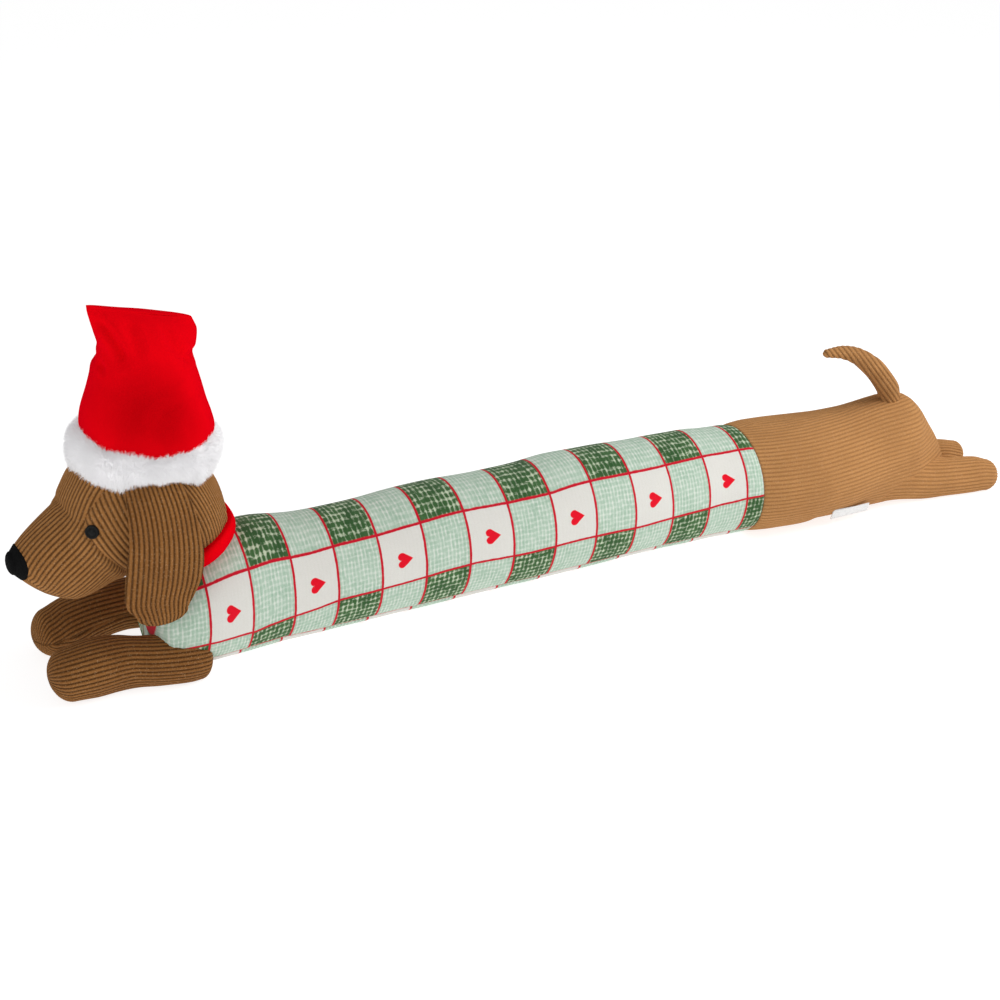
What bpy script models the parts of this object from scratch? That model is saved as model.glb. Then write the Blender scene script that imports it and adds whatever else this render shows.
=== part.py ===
"""Draught excluder in the shape of a long lying dog with a fur-trimmed hat. Tables are in mm, X from head to tail."""

import math

import bmesh
import bpy
import numpy as np

MM = 0.001
GAP = 0.3
CENTRE_X = 327.0
CENTRE_Y = 5.0
SINK = 2.0
AROUND = 30
CAP_STEPS = 4
SPAN_STEPS = 2

COLLAR_WIDTH = 16.0
COLLAR_THICK = 6.5
COLLAR_TILT = 22.0
COLLAR_CENTRE = (6.0, 0.0, 103.0)
EYE_RADIUS = 5.6
EYE_DEPTH = 3.2
LABEL_SIZE = (38.0, 1.4, 12.0)
NOSE_GROW = 0.8
NOSE_CENTRE = (-144.5, 0.0, 117.0)
NOSE_RADII = (19.0, 24.0, 17.0)
EYE_PLACE = (-83.5, 149.0)
LABEL_PLACE = (607.0, -51.0, 7.5)
LABEL_LEAN = 20.0

# x, half width, top height
SLEEVE_ROWS = [
    (-26, 44.0, 92.0),
    (-14, 49.0, 97.5),
    (4, 53.0, 102.0),
    (30, 53.0, 106.0),
    (60, 50.8, 106.0),
    (100, 50.0, 102.5),
    (160, 51.2, 102.5),
    (220, 51.5, 104.5),
    (300, 51.3, 102.5),
    (380, 50.5, 101.5),
    (440, 49.4, 99.5),
    (500, 48.8, 97.5),
    (528, 49.5, 98.0),
]

# x, y, half width, bottom height, top height, squareness
RUMP_ROWS = [
    (528.3, -6, 49.3, 0, 97.6, 2.0),
    (552, -9, 53.5, 0, 98.5, 2.0),
    (585, -12, 54.5, 0, 97.5, 2.0),
    (625, -13, 50.0, 0, 95.2, 2.0),
    (662, -13, 43.5, 0, 96.3, 2.0),
    (688, -14, 39.5, 0, 100.0, 2.0),
    (705, -15, 35.0, 0, 98.5, 2.0),
    (719, -16, 27.0, 0, 87.0, 2.0),
    (734, -17, 18.0, 0, 66.0, 2.0),
    (748, -18, 10.0, 0, 44.0, 2.0),
]

# x, y, height of centre, half width, half height
HIND_NEAR_ROWS = [
    (640, -38, 24, 20, 26),
    (690, -36, 20, 20, 22),
    (722, -38, 17, 18, 19),
    (750, -42, 15.5, 17, 17.5),
    (772, -46, 15, 17, 17),
    (784, -48, 13, 15, 15),
]
HIND_FAR_ROWS = [
    (640, 2, 24, 20, 26),
    (690, 6, 22, 20, 24),
    (722, 8, 17, 16, 19),
    (750, 8, 14, 14.5, 16),
    (772, 6, 13.5, 15, 15.5),
    (788, 5, 11.5, 13, 13.5),
]
FRONT_NEAR_ROWS = [
    (0, -36, 17, 19, 19),
    (-16, -36, 18.5, 20.5, 20.5),
    (-36, -31, 19, 19.5, 21),
    (-54, -25, 19.5, 18.5, 21.5),
    (-70, -23, 21, 20.5, 23),
    (-90, -23, 22, 23.5, 24),
    (-108, -22, 20, 21.5, 22),
]
FRONT_FAR_ROWS = [
    (0, 40, 33, 17, 22),
    (-14, 43, 33, 20, 23),
    (-40, 49, 32, 19.5, 22),
    (-64, 52, 28, 21, 22.5),
    (-84, 54, 22.5, 22.5, 23),
    (-99, 54, 19.5, 20.5, 21),
]

# x, y, height of centre, half width, half height, along a curve in the middle plane
TAIL_ROWS = [
    (688, -16, 84, 10, 10),
    (688.5, -16, 104, 10.3, 10.3),
    (680.5, -16, 119, 10.3, 10.3),
    (666, -16, 135.5, 9.5, 9.5),
    (649, -16, 148.5, 7.8, 7.8),
    (632, -16, 155.5, 6, 6),
    (616, -16, 157.5, 4, 4),
]

# x, bottom height, top height, half width, squareness
HEAD_ROWS = [
    (-139, 109, 126, 8.5, 2.0),
    (-134, 103.5, 131.5, 13.5, 2.0),
    (-127, 96.5, 138, 19, 2.0),
    (-116, 88, 146.5, 25, 2.0),
    (-104, 81.5, 154.5, 30, 2.0),
    (-96, 79, 160, 34, 2.0),
    (-89, 79, 172.5, 38, 2.0),
    (-80, 81, 187, 42, 2.0),
    (-66, 87, 200.5, 45.5, 2.05),
    (-52, 92, 208, 48, 2.1),
    (-38, 88, 212, 49, 2.1),
    (-20, 82, 212, 49, 2.1),
    (-4, 80, 208, 47, 2.1),
    (8, 80, 200, 44, 2.1),
    (19, 83, 185, 37.5, 2.1),
    (29, 92, 167, 28, 2.1),
]

# height, x at front edge, x at rear edge, y of the middle, half thickness at the middle
EAR_ROWS = [
    (190, -57, -18, -45, 2.6),
    (178, -58, -12, -48, 2.9),
    (160, -59, -6, -53, 3.1),
    (140, -61, -3, -56, 3.2),
    (120, -65, -1, -56.5, 3.2),
    (100, -68, -4, -57, 3.2),
    (86, -67, -11, -57, 3.1),
    (76, -60, -17, -57, 3.0),
]

# x, y, height of centre, half width, half depth, tilt of the section in degrees
CROWN_ROWS = [
    (-24, 0, 196, 48, 48, 2),
    (-22, 0, 210, 52, 52, 3),
    (-22, 0, 222, 51, 51, 3),
    (-21.5, 0, 236, 47.5, 47.5, 4),
    (-20.5, 0, 254, 42, 42.5, 5),
    (-19.5, 0, 268, 37.5, 38.5, 7),
    (-18.5, 0, 276, 34, 37.5, 9),
    (-18.5, 0, 286, 30, 41, 11),
    (-19, 0, 295, 23.5, 43.5, 12),
    (-21, 0, 302, 14, 42.5, 13),
]

TRIM_CENTRE = (-25.3, 0.0, 196.5)
TRIM_TILT = 3.0
TRIM_RADIUS = 47.4
TRIM_TUBE = (12.5, 17.0)

# turn around the head in degrees from the tail side, drop of the lower edge
TRIM_DROPS = [(0, 2.0), (50, 4.5), (90, -7.0), (135, 4.0), (180, 2.0), (225, 4.0), (270, -7.0), (310, 4.5), (360, 2.0)]

SEAM_OUTLINE = [(-62, 260), (-66, 186), (-87, 155), (-56, 108), (-40, 40)]


def clear_scene():
    for thing in list(bpy.data.objects):
        bpy.data.objects.remove(thing, do_unlink=True)


def material(name, colour, roughness):
    made = bpy.data.materials.new(name)
    made.use_nodes = True
    shader = made.node_tree.nodes["Principled BSDF"]
    shader.inputs["Base Color"].default_value = (*colour, 1.0)
    shader.inputs["Roughness"].default_value = roughness
    shader.inputs["Metallic"].default_value = 0.0
    return made


def smooth_rows(rows, per_span):
    """Points on a smooth curve through the rows of a table."""
    rows = np.array(rows, float)
    padded = np.vstack([2 * rows[0] - rows[1], rows, 2 * rows[-1] - rows[-2]])
    found = []
    for i in range(1, len(rows)):
        before, start, end, after = padded[i - 1 : i + 3]
        for step in range(per_span):
            t = step / per_span
            found.append(
                0.5 * (2 * start + (end - before) * t + (2 * before - 5 * start + 4 * end - after) * t**2
                       + (3 * start - before - 3 * end + after) * t**3)
            )
    found.append(rows[-1])
    return np.array(found)


def mesh_object(name, points, faces, coat, smooth=True):
    mesh = bpy.data.meshes.new(name)
    mesh.from_pydata([tuple(p) for p in points], [], faces)
    shape = bmesh.new()
    shape.from_mesh(mesh)
    bmesh.ops.remove_doubles(shape, verts=shape.verts, dist=1e-6)
    bmesh.ops.recalc_face_normals(shape, faces=shape.faces)
    shape.to_mesh(mesh)
    shape.free()
    mesh.materials.append(coat)
    mesh.polygons.foreach_set("use_smooth", [smooth] * len(mesh.polygons))
    made = bpy.data.objects.new(name, mesh)
    bpy.context.scene.collection.objects.link(made)
    return made


def loft(name, centres, ups, sides, halves, coat, caps=(0.0, 0.0), power=2.0, floor=False, around=AROUND):
    """A closed solid through oval sections. halves holds half width, half height per section."""
    centres = np.array(centres, float)
    tangents = np.gradient(centres, axis=0)
    tangents /= np.linalg.norm(tangents, axis=1)[:, None]
    power = np.broadcast_to(np.array(power, float), len(centres))
    angles = np.arange(around) * 2 * math.pi / around
    rings = []

    def ring(index, scale, push):
        bend = 2.0 / power[index]
        across = np.sign(np.cos(angles)) * np.abs(np.cos(angles)) ** bend * halves[index][0] * scale
        upward = np.sign(np.sin(angles)) * np.abs(np.sin(angles)) ** bend * halves[index][1] * scale
        return centres[index] + tangents[index] * push + np.outer(across, sides[index]) + np.outer(upward, ups[index])

    for step in range(CAP_STEPS, 0, -1):
        if caps[0]:
            lean = step / CAP_STEPS * math.pi / 2 * 0.94
            rings.append(ring(0, math.cos(lean), -caps[0] * math.sin(lean)))
    for index in range(len(centres)):
        rings.append(ring(index, 1.0, 0.0))
    for step in range(1, CAP_STEPS + 1):
        if caps[1]:
            lean = step / CAP_STEPS * math.pi / 2 * 0.94
            rings.append(ring(len(centres) - 1, math.cos(lean), caps[1] * math.sin(lean)))
    points = np.vstack(rings)
    if floor:
        points[:, 2] = np.maximum(points[:, 2], 0.0)
    faces = []
    for row in range(len(rings) - 1):
        for i in range(around):
            j = (i + 1) % around
            faces.append((row * around + i, row * around + j, (row + 1) * around + j, (row + 1) * around + i))
    faces.append(tuple(range(around)))
    faces.append(tuple((len(rings) - 1) * around + i for i in range(around)))
    points = (points - (CENTRE_X, CENTRE_Y, 0.0)) * MM
    return mesh_object(name, points, faces, coat)


def frames(centres):
    """Side and up vectors for sections square to a path that stays near the middle plane."""
    tangents = np.gradient(np.array(centres, float), axis=0)
    tangents /= np.linalg.norm(tangents, axis=1)[:, None]
    sides = np.array([0.0, 1.0, 0.0]) - tangents * tangents[:, 1:2]
    sides /= np.linalg.norm(sides, axis=1)[:, None]
    return np.cross(tangents, sides), sides


def level_frames(count):
    return np.tile([0.0, 0.0, 1.0], (count, 1)), np.tile([0.0, 1.0, 0.0], (count, 1))


def sleeve_shift(x):
    """How far the middle of the body bends to the left near its two ends."""
    return float(np.interp(x, [10, 70, 440, 490, 528], [-3.0, 0.0, 0.0, -2.0, -6.0]))


def sleeve_solid(name, coat, grow=0.0):
    rows = smooth_rows(SLEEVE_ROWS, SPAN_STEPS)
    centres = [(x, sleeve_shift(x), (top - SINK) / 2) for x, half, top in rows]
    halves = [(half + grow, (top + SINK) / 2 + grow) for x, half, top in rows]
    ups, sides = level_frames(len(rows))
    return loft(name, centres, ups, sides, halves, coat, caps=(12.0 + grow, 0.0), floor=not grow)


def leg_solid(name, rows, tip, coat, grow=0.0, root=6.0):
    rows = smooth_rows(rows, SPAN_STEPS)
    centres = [row[:3] for row in rows]
    halves = [(wide + grow, high + grow) for x, y, z, wide, high in rows]
    ups, sides = frames(centres)
    return loft(name, centres, ups, sides, halves, coat, caps=(root + grow, tip + grow), floor=not grow, around=22)


def rump_solid(name, coat, grow=0.0):
    rows = smooth_rows(RUMP_ROWS, SPAN_STEPS)
    centres = [(x, y, (top + low - SINK) / 2) for x, y, half, low, top, square in rows]
    halves = [(half + grow, (top - low + SINK) / 2 + grow) for x, y, half, low, top, square in rows]
    ups, sides = level_frames(len(rows))
    return loft(name, centres, ups, sides, halves, coat, caps=(0.0, 5.0 + grow), floor=not grow)


def head_solid(name, coat, grow=0.0, around=AROUND):
    rows = smooth_rows(HEAD_ROWS, SPAN_STEPS)
    centres = [(x, 0, (top + low) / 2) for x, low, top, half, square in rows]
    halves = [(half + grow, (top - low) / 2 + grow) for x, low, top, half, square in rows]
    ups, sides = level_frames(len(rows))
    power = [row[4] for row in rows]
    return loft(name, centres, ups, sides, halves, coat, caps=(3.5 + grow, 6.0 + grow), power=power, around=around)


def tail_solid(name, coat, grow=0.0):
    rows = smooth_rows(TAIL_ROWS, SPAN_STEPS)
    centres = [row[:3] for row in rows]
    ups, sides = frames(centres)
    halves = [(row[3] + grow, row[4] + grow) for row in rows]
    return loft(name, centres, ups, sides, halves, coat, caps=(1.0, 5.0), around=16)


def ear_solid(name, coat, side, grow=0.0):
    """A flat ear that hangs down the side of the head. side is -1 for left and 1 for right."""
    rows = smooth_rows(EAR_ROWS, SPAN_STEPS)
    centres = [((front + rear) / 2, -side * y, z) for z, front, rear, y, thick in rows]
    halves = [((rear - front) / 2 + grow, thick + grow) for z, front, rear, y, thick in rows]
    ups = np.tile([0.0, 1.0, 0.0], (len(rows), 1))
    sides = np.tile([1.0, 0.0, 0.0], (len(rows), 1))
    return loft(name, centres, ups, sides, halves, coat, caps=(3.0, 11.0 + grow), power=2.6, around=20)


def crown_solid(name, coat, grow=0.0):
    rows = smooth_rows(CROWN_ROWS, SPAN_STEPS)
    centres = [row[:3] for row in rows]
    ups = [(-math.cos(math.radians(row[5])), 0.0, math.sin(math.radians(row[5]))) for row in rows]
    sides = np.tile([0.0, 1.0, 0.0], (len(rows), 1))
    halves = [(row[3] + grow, row[4] + grow) for row in rows]
    return loft(name, centres, np.array(ups), sides, halves, coat, caps=(1.0, 6.0 + grow), around=32)


def trim_solid(name, coat, grow=0.0):
    """A thick soft ring around the base of the crown, tilted down at the back."""
    around, tube = 40, 12
    tilt = math.radians(TRIM_TILT)
    forward = np.array([math.cos(tilt), 0.0, -math.sin(tilt)])
    upward = np.array([math.sin(tilt), 0.0, math.cos(tilt)])
    points = []
    for i in range(around):
        turn = 2 * math.pi * i / around
        out = forward * math.cos(turn) + np.array([0.0, 1.0, 0.0]) * math.sin(turn)
        drop = float(np.interp(math.degrees(turn), *zip(*TRIM_DROPS)))
        for j in range(tube):
            roll = 2 * math.pi * j / tube
            wide = TRIM_RADIUS + (TRIM_TUBE[0] + grow) * math.cos(roll)
            high = (TRIM_TUBE[1] + grow) * math.sin(roll) + drop * min(0.0, math.sin(roll))
            points.append(np.array(TRIM_CENTRE) + out * wide + upward * high)
    faces = []
    for i in range(around):
        for j in range(tube):
            k, m = (i + 1) % around, (j + 1) % tube
            faces.append((i * tube + j, k * tube + j, k * tube + m, i * tube + m))
    points = (np.array(points) - (CENTRE_X, CENTRE_Y, 0.0)) * MM
    return mesh_object(name, points, faces, coat)


def prism(name, outline, low, high, coat):
    """A solid from an outline of x, z corners, from y low to y high."""
    count = len(outline)
    points = [(x - CENTRE_X, low - CENTRE_Y, z) for x, z in outline]
    points += [(x - CENTRE_X, high - CENTRE_Y, z) for x, z in outline]
    faces = [tuple(range(count)), tuple(range(count, 2 * count))]
    for i in range(count):
        j = (i + 1) % count
        faces.append((i, j, count + j, count + i))
    return mesh_object(name, np.array(points) * MM, faces, coat, smooth=False)


def ellipsoid(name, centre, radii, coat):
    mesh = bpy.data.meshes.new(name)
    shape = bmesh.new()
    bmesh.ops.create_icosphere(shape, subdivisions=3, radius=1.0)
    for vert in shape.verts:
        place = [vert.co[k] * radii[k] + centre[k] for k in range(3)]
        vert.co = ((place[0] - CENTRE_X) * MM, (place[1] - CENTRE_Y) * MM, place[2] * MM)
    shape.to_mesh(mesh)
    shape.free()
    mesh.materials.append(coat)
    made = bpy.data.objects.new(name, mesh)
    bpy.context.scene.collection.objects.link(made)
    return made


def nose_shape(name, coat, grow):
    return ellipsoid(name, NOSE_CENTRE, [radius + grow for radius in NOSE_RADII], coat)


def behind_seam(shift):
    """Outline of all that lies behind the cheek seam, in x and z."""
    return [(x + shift, z) for x, z in SEAM_OUTLINE] + [(200.0, 40.0), (200.0, 260.0)]


def collar_slab(name, coat):
    tilt = math.radians(COLLAR_TILT)
    along = np.array([math.cos(tilt), math.sin(tilt)])
    upward = np.array([-math.sin(tilt), math.cos(tilt)])
    middle = np.array([COLLAR_CENTRE[0], COLLAR_CENTRE[2]])
    half = COLLAR_WIDTH / 2
    corners = [middle + along * a * 150 + upward * b * half for a, b in ((-1, -1), (1, -1), (1, 1), (-1, 1))]
    return prism(name, [tuple(corner) for corner in corners], -200.0, 200.0, coat)


def head_half_width(x, z):
    """Half width of the head at x and height z."""
    rows = smooth_rows(HEAD_ROWS, SPAN_STEPS)
    low, top, half, square = [np.interp(x, rows[:, 0], rows[:, k]) for k in range(1, 5)]
    rise = abs(z - (top + low) / 2) / ((top - low) / 2)
    return half * max(0.0, 1 - rise**square) ** (1 / square)


def eye_solid(name, coat, side):
    """A shallow round dome on the surface of the head."""
    x, z = EYE_PLACE
    y = head_half_width(x, z)
    step = 2.0
    slope_x = (head_half_width(x + step, z) - head_half_width(x - step, z)) / (2 * step)
    slope_z = (head_half_width(x, z + step) - head_half_width(x, z - step)) / (2 * step)
    out = np.array([-slope_x, side, -slope_z])
    out /= np.linalg.norm(out)
    place = np.array([x, side * y, z])
    centres = [place - out * 2.0, place - out * 0.5, place + out * 0.6]
    across = np.cross(out, [0.0, 0.0, 1.0])
    across /= np.linalg.norm(across)
    sides = np.tile(across, (3, 1))
    ups = np.tile(np.cross(across, out), (3, 1))
    halves = [(EYE_RADIUS, EYE_RADIUS)] * 3
    return loft(name, centres, ups, sides, halves, coat, caps=(0.0, EYE_DEPTH - 0.6), around=20)


def label_solid(name, coat):
    """A short folded tape that leans out of the lower edge of the rump."""
    length, thick, tall = LABEL_SIZE
    x, y, z = LABEL_PLACE
    lean = math.radians(LABEL_LEAN)
    corners = []
    for a, b, c in ((0, 0, 0), (1, 0, 0), (1, 1, 0), (0, 1, 0), (0, 0, 1), (1, 0, 1), (1, 1, 1), (0, 1, 1)):
        across, up = (b - 0.5) * thick, c * tall
        corners.append(
            (x + a * length, y - up * math.sin(lean) + across * math.cos(lean),
             z + up * math.cos(lean) + across * math.sin(lean))
        )
    points = (np.array(corners) - (CENTRE_X, CENTRE_Y, 0.0)) * MM
    faces = [(0, 3, 2, 1), (4, 5, 6, 7), (0, 1, 5, 4), (1, 2, 6, 5), (2, 3, 7, 6), (3, 0, 4, 7)]
    return mesh_object(name, points, faces, coat, smooth=False)


def combine(piece, other, operation, keep_other=False):
    """Cuts piece by other, joins other to it, or keeps what both share."""
    change = piece.modifiers.new("shape", "BOOLEAN")
    change.operation = operation
    change.object = other
    change.solver = "EXACT"
    bpy.context.view_layer.update()
    graph = bpy.context.evaluated_depsgraph_get()
    made = bpy.data.meshes.new_from_object(piece.evaluated_get(graph))
    piece.modifiers.clear()
    old = piece.data
    piece.data = made
    bpy.data.meshes.remove(old)
    made.name = piece.name
    if not keep_other:
        bpy.data.objects.remove(other, do_unlink=True)
    return piece


def cut(piece, other):
    return combine(piece, other, "DIFFERENCE")


def shared(piece, other):
    return combine(piece, other, "INTERSECT")


clear_scene()
corduroy = material("corduroy", (0.31, 0.17, 0.075), 0.85)
plush = material("red_plush", (0.62, 0.006, 0.012), 0.7)
fur = material("white_fur", (0.83, 0.83, 0.84), 0.9)
print_cloth = material("check_print", (0.52, 0.66, 0.56), 0.8)
felt = material("black_felt", (0.012, 0.012, 0.012), 0.9)
plastic = material("black_plastic", (0.01, 0.01, 0.01), 0.3)
tape = material("white_tape", (0.8, 0.8, 0.8), 0.8)

sleeve = sleeve_solid("sleeve", print_cloth)

rump = rump_solid("rump", corduroy)
combine(rump, leg_solid("hind_left", HIND_NEAR_ROWS, 13.0, corduroy), "UNION")
combine(rump, leg_solid("hind_right", HIND_FAR_ROWS, 10.0, corduroy), "UNION")

tail = tail_solid("tail", corduroy)
cut(tail, rump_solid("cutter", corduroy, GAP))

for name, rows in (("front_leg_left", FRONT_NEAR_ROWS), ("front_leg_right", FRONT_FAR_ROWS)):
    leg = leg_solid(name, rows, 17.0, corduroy)
    cut(leg, sleeve_solid("cutter", corduroy, GAP))

collar = head_solid("collar", plush, COLLAR_THICK)
shared(collar, collar_slab("cutter", plush))
cut(collar, head_solid("cutter", plush, GAP))
cut(collar, sleeve_solid("cutter", plush, GAP))

for name, side in (("head_left", -1), ("head_right", 1)):
    half = head_solid(name, corduroy)
    cut(half, sleeve_solid("cutter", corduroy, GAP))
    low, high = (-200.0, -GAP / 2) if side < 0 else (GAP / 2, 200.0)
    shared(half, prism("cutter", behind_seam(GAP), low, high, corduroy))

front = head_solid("head_front", corduroy)
cut(front, sleeve_solid("cutter", corduroy, GAP))
cut(front, prism("cutter", behind_seam(0.0), -200.0, 200.0, corduroy))
cut(front, nose_shape("cutter", felt, GAP))

nose = head_solid("nose", felt, NOSE_GROW)
shared(nose, nose_shape("cutter", felt, 0.0))

for name, side in (("eye_left", -1), ("eye_right", 1)):
    eye = eye_solid(name, plastic, side)
    cut(eye, head_solid("cutter", plastic, GAP))

for name, side in (("ear_left", -1), ("ear_right", 1)):
    ear = ear_solid(name, corduroy, side)
    cut(ear, head_solid("cutter", corduroy, GAP))

trim = trim_solid("hat_trim", fur)
cut(trim, head_solid("cutter", fur, GAP))
for side in (-1, 1):
    cut(trim, ear_solid("cutter", fur, side, GAP))

crown = crown_solid("hat_crown", plush)
cut(crown, head_solid("cutter", plush, GAP))
cut(crown, trim_solid("cutter", plush, GAP))

label = label_solid("seam_label", tape)
cut(label, rump_solid("cutter", tape, GAP))
cut(label, leg_solid("cutter", HIND_NEAR_ROWS, 13.0, tape, GAP))
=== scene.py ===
import math

import bmesh
import bpy
import numpy as np
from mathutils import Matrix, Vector
from mathutils.bvhtree import BVHTree


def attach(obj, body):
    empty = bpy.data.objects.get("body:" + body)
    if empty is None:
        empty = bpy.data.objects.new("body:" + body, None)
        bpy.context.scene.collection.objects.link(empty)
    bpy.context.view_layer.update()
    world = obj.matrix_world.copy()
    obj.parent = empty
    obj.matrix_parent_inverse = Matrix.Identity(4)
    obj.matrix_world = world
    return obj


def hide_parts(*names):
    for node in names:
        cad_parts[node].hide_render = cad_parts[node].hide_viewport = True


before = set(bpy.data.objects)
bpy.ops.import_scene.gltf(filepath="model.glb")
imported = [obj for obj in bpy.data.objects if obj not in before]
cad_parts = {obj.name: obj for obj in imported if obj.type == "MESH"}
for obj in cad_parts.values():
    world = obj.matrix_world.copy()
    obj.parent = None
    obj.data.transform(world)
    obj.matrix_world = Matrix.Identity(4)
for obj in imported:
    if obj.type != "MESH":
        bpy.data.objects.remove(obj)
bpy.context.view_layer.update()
scene = bpy.context.scene
scene.view_settings.view_transform = "Standard"

# the maker's layout is in mm, x from head to tail, y to the dog's right, z up from the floor
layoutCentre = np.array([327.0, 5.0, 0.0])
mm = 0.001
sink = 2.0  # how far the round underside is pressed flat by the floor
walePitch = 3.9  # from rib to rib of the corduroy
fullTurn = 2 * math.pi
print("frame loaded")


# camera, floor and light

view = {
    "lens": 79.2, "azimuth": -27.4, "elevation": 26.0, "distance": 1.908,
    "target": (-0.0378, -0.005, 0.076),
}
lights = {
    "key": {"place": (0.85, -0.45, 0.86), "size": 0.8, "power": 10.4},
    "fill": {"place": (-1.5, -1.0, 0.9), "size": 1.4, "power": 7.7},
}
studio = {"worldStrength": 0.40, "floorReach": 8.0, "floorGrey": 0.45, "floorGlow": 0.8}


def makeCamera():
    data = bpy.data.cameras.new("camera")
    data.sensor_width = 36.0
    data.lens = view["lens"]
    camera = bpy.data.objects.new("camera", data)
    scene.collection.objects.link(camera)
    turn, lift = math.radians(view["azimuth"]), math.radians(view["elevation"])
    back = Vector((math.sin(turn) * math.cos(lift), -math.cos(turn) * math.cos(lift), math.sin(lift)))
    camera.location = Vector(view["target"]) + back * view["distance"]
    camera.rotation_euler = (-back).to_track_quat("-Z", "Y").to_euler()
    scene.camera = camera


def makeLights():
    for name, wanted in lights.items():
        data = bpy.data.lights.new(name, "AREA")
        data.energy = wanted["power"]
        data.size = wanted["size"]
        lamp = bpy.data.objects.new(name, data)
        scene.collection.objects.link(lamp)
        lamp.location = wanted["place"]
        lamp.rotation_euler = (-Vector(wanted["place"])).to_track_quat("-Z", "Y").to_euler()
    world = bpy.data.worlds.new("studio")
    world.use_nodes = True
    sky = world.node_tree.nodes["Background"]
    sky.inputs["Color"].default_value = (1.0, 1.0, 1.0, 1.0)
    sky.inputs["Strength"].default_value = studio["worldStrength"]
    scene.world = world


def makeFloor():
    mesh = bpy.data.meshes.new("floor")
    reach, grey = studio["floorReach"], studio["floorGrey"]
    corners = [(-reach, -reach, 0), (reach, -reach, 0), (reach, reach, 0), (-reach, reach, 0)]
    mesh.from_pydata(corners, [], [(0, 1, 2, 3)])
    coat = bpy.data.materials.new("paleFloor")
    coat.use_nodes = True
    shader = coat.node_tree.nodes["Principled BSDF"]
    shader.inputs["Base Color"].default_value = (grey, grey, grey, 1.0)
    shader.inputs["Emission Color"].default_value = (1.0, 1.0, 1.0, 1.0)
    shader.inputs["Emission Strength"].default_value = studio["floorGlow"]
    shader.inputs["Roughness"].default_value = 1.0
    shader.inputs["Specular IOR Level"].default_value = 0.0
    mesh.materials.append(coat)
    floor = bpy.data.objects.new("floor", mesh)
    scene.collection.objects.link(floor)


makeCamera()
makeLights()
makeFloor()
print("camera, floor and light made")


# shader building

def addNode(tree, kind, wires=None, **settings):
    made = tree.nodes.new("ShaderNode" + kind)
    for key, value in settings.items():
        setattr(made, key, value)
    for key, value in (wires or {}).items():
        if isinstance(value, bpy.types.NodeSocket):
            tree.links.new(value, made.inputs[key])
        elif isinstance(value, tuple) and len(made.inputs[key].default_value) == 4:
            made.inputs[key].default_value = (*value, 1.0)
        else:
            made.inputs[key].default_value = value
    return made


def calc(tree, operation, first, second=0.0, clamp=False):
    return addNode(tree, "Math", {0: first, 1: second}, operation=operation, use_clamp=clamp).outputs[0]


def plus(tree, first, second, clamp=False):
    return calc(tree, "ADD", first, second, clamp)


def minus(tree, first, second):
    return calc(tree, "SUBTRACT", first, second)


def times(tree, first, second):
    return calc(tree, "MULTIPLY", first, second)


def ramp(tree, value, low, high, start=0.0, end=1.0):
    wires = {0: value, 1: low, 2: high, 3: start, 4: end}
    return addNode(tree, "MapRange", wires, interpolation_type="SMOOTHSTEP").outputs[0]


def mixColour(tree, share, first, second, blend="MIX"):
    wires = {0: share, 6: first, 7: second}
    return addNode(tree, "Mix", wires, data_type="RGBA", blend_type=blend).outputs[2]


def noise(tree, place, scale, detail=2.0, roughness=0.5, distortion=0.0):
    wires = {"Vector": place, "Scale": scale, "Detail": detail, "Roughness": roughness,
             "Distortion": distortion}
    return addNode(tree, "TexNoise", wires).outputs["Fac"]


def stretched(tree, place, scale):
    return addNode(tree, "Mapping", {"Vector": place, "Scale": scale}).outputs["Vector"]


def clothMap(tree):
    return addNode(tree, "UVMap", uv_map="cloth").outputs["UV"]


def objectPlace(tree):
    return addNode(tree, "TexCoord").outputs["Object"]


def newGroup(name, takes, gives):
    tree = bpy.data.node_groups.new(name, "ShaderNodeTree")
    kinds = {"value": "NodeSocketFloat", "colour": "NodeSocketColor", "vector": "NodeSocketVector"}
    for socket, kind in takes.items():
        tree.interface.new_socket(socket, in_out="INPUT", socket_type=kinds[kind])
    for socket, kind in gives.items():
        tree.interface.new_socket(socket, in_out="OUTPUT", socket_type=kinds[kind])
    inside = tree.nodes.new("NodeGroupInput")
    outside = tree.nodes.new("NodeGroupOutput")
    return tree, inside.outputs, outside.inputs


def useGroup(tree, group, wires):
    return addNode(tree, "Group", wires, node_tree=group).outputs


def feed(tree, sockets, wires):
    for key, value in wires.items():
        tree.links.new(value, sockets[key])


def newCoat(name, roughness, sheen=0.0, sheenRoughness=0.5, sheenTint=(1.0, 1.0, 1.0), gloss=0.3):
    coat = bpy.data.materials.new(name)
    coat.use_nodes = True
    shader = coat.node_tree.nodes["Principled BSDF"]
    shader.inputs["Roughness"].default_value = roughness
    shader.inputs["Sheen Weight"].default_value = sheen
    shader.inputs["Sheen Roughness"].default_value = sheenRoughness
    shader.inputs["Sheen Tint"].default_value = (*sheenTint, 1.0)
    shader.inputs["Specular IOR Level"].default_value = gloss
    return coat, coat.node_tree, shader


def addBump(tree, shader, height, distance, strength):
    bump = addNode(tree, "Bump", {"Height": height, "Distance": distance, "Strength": strength})
    feed(tree, shader.inputs, {"Normal": bump.outputs["Normal"]})


def makePileGroup():
    # the fine tips of a pile, and the broad patches where it is brushed one way or the other
    tree, takes, gives = newGroup("pile", {"Place": "vector", "Fine": "value", "Broad": "value"},
                                  {"Tips": "value", "Nap": "value"})
    tips = noise(tree, takes["Place"], takes["Fine"], 2.0, 0.7)
    nap = noise(tree, takes["Place"], takes["Broad"], 2.0, 0.55, 0.6)
    feed(tree, gives, {"Tips": ramp(tree, tips, 0.3, 0.7), "Nap": ramp(tree, nap, 0.3, 0.7)})
    return tree


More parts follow.
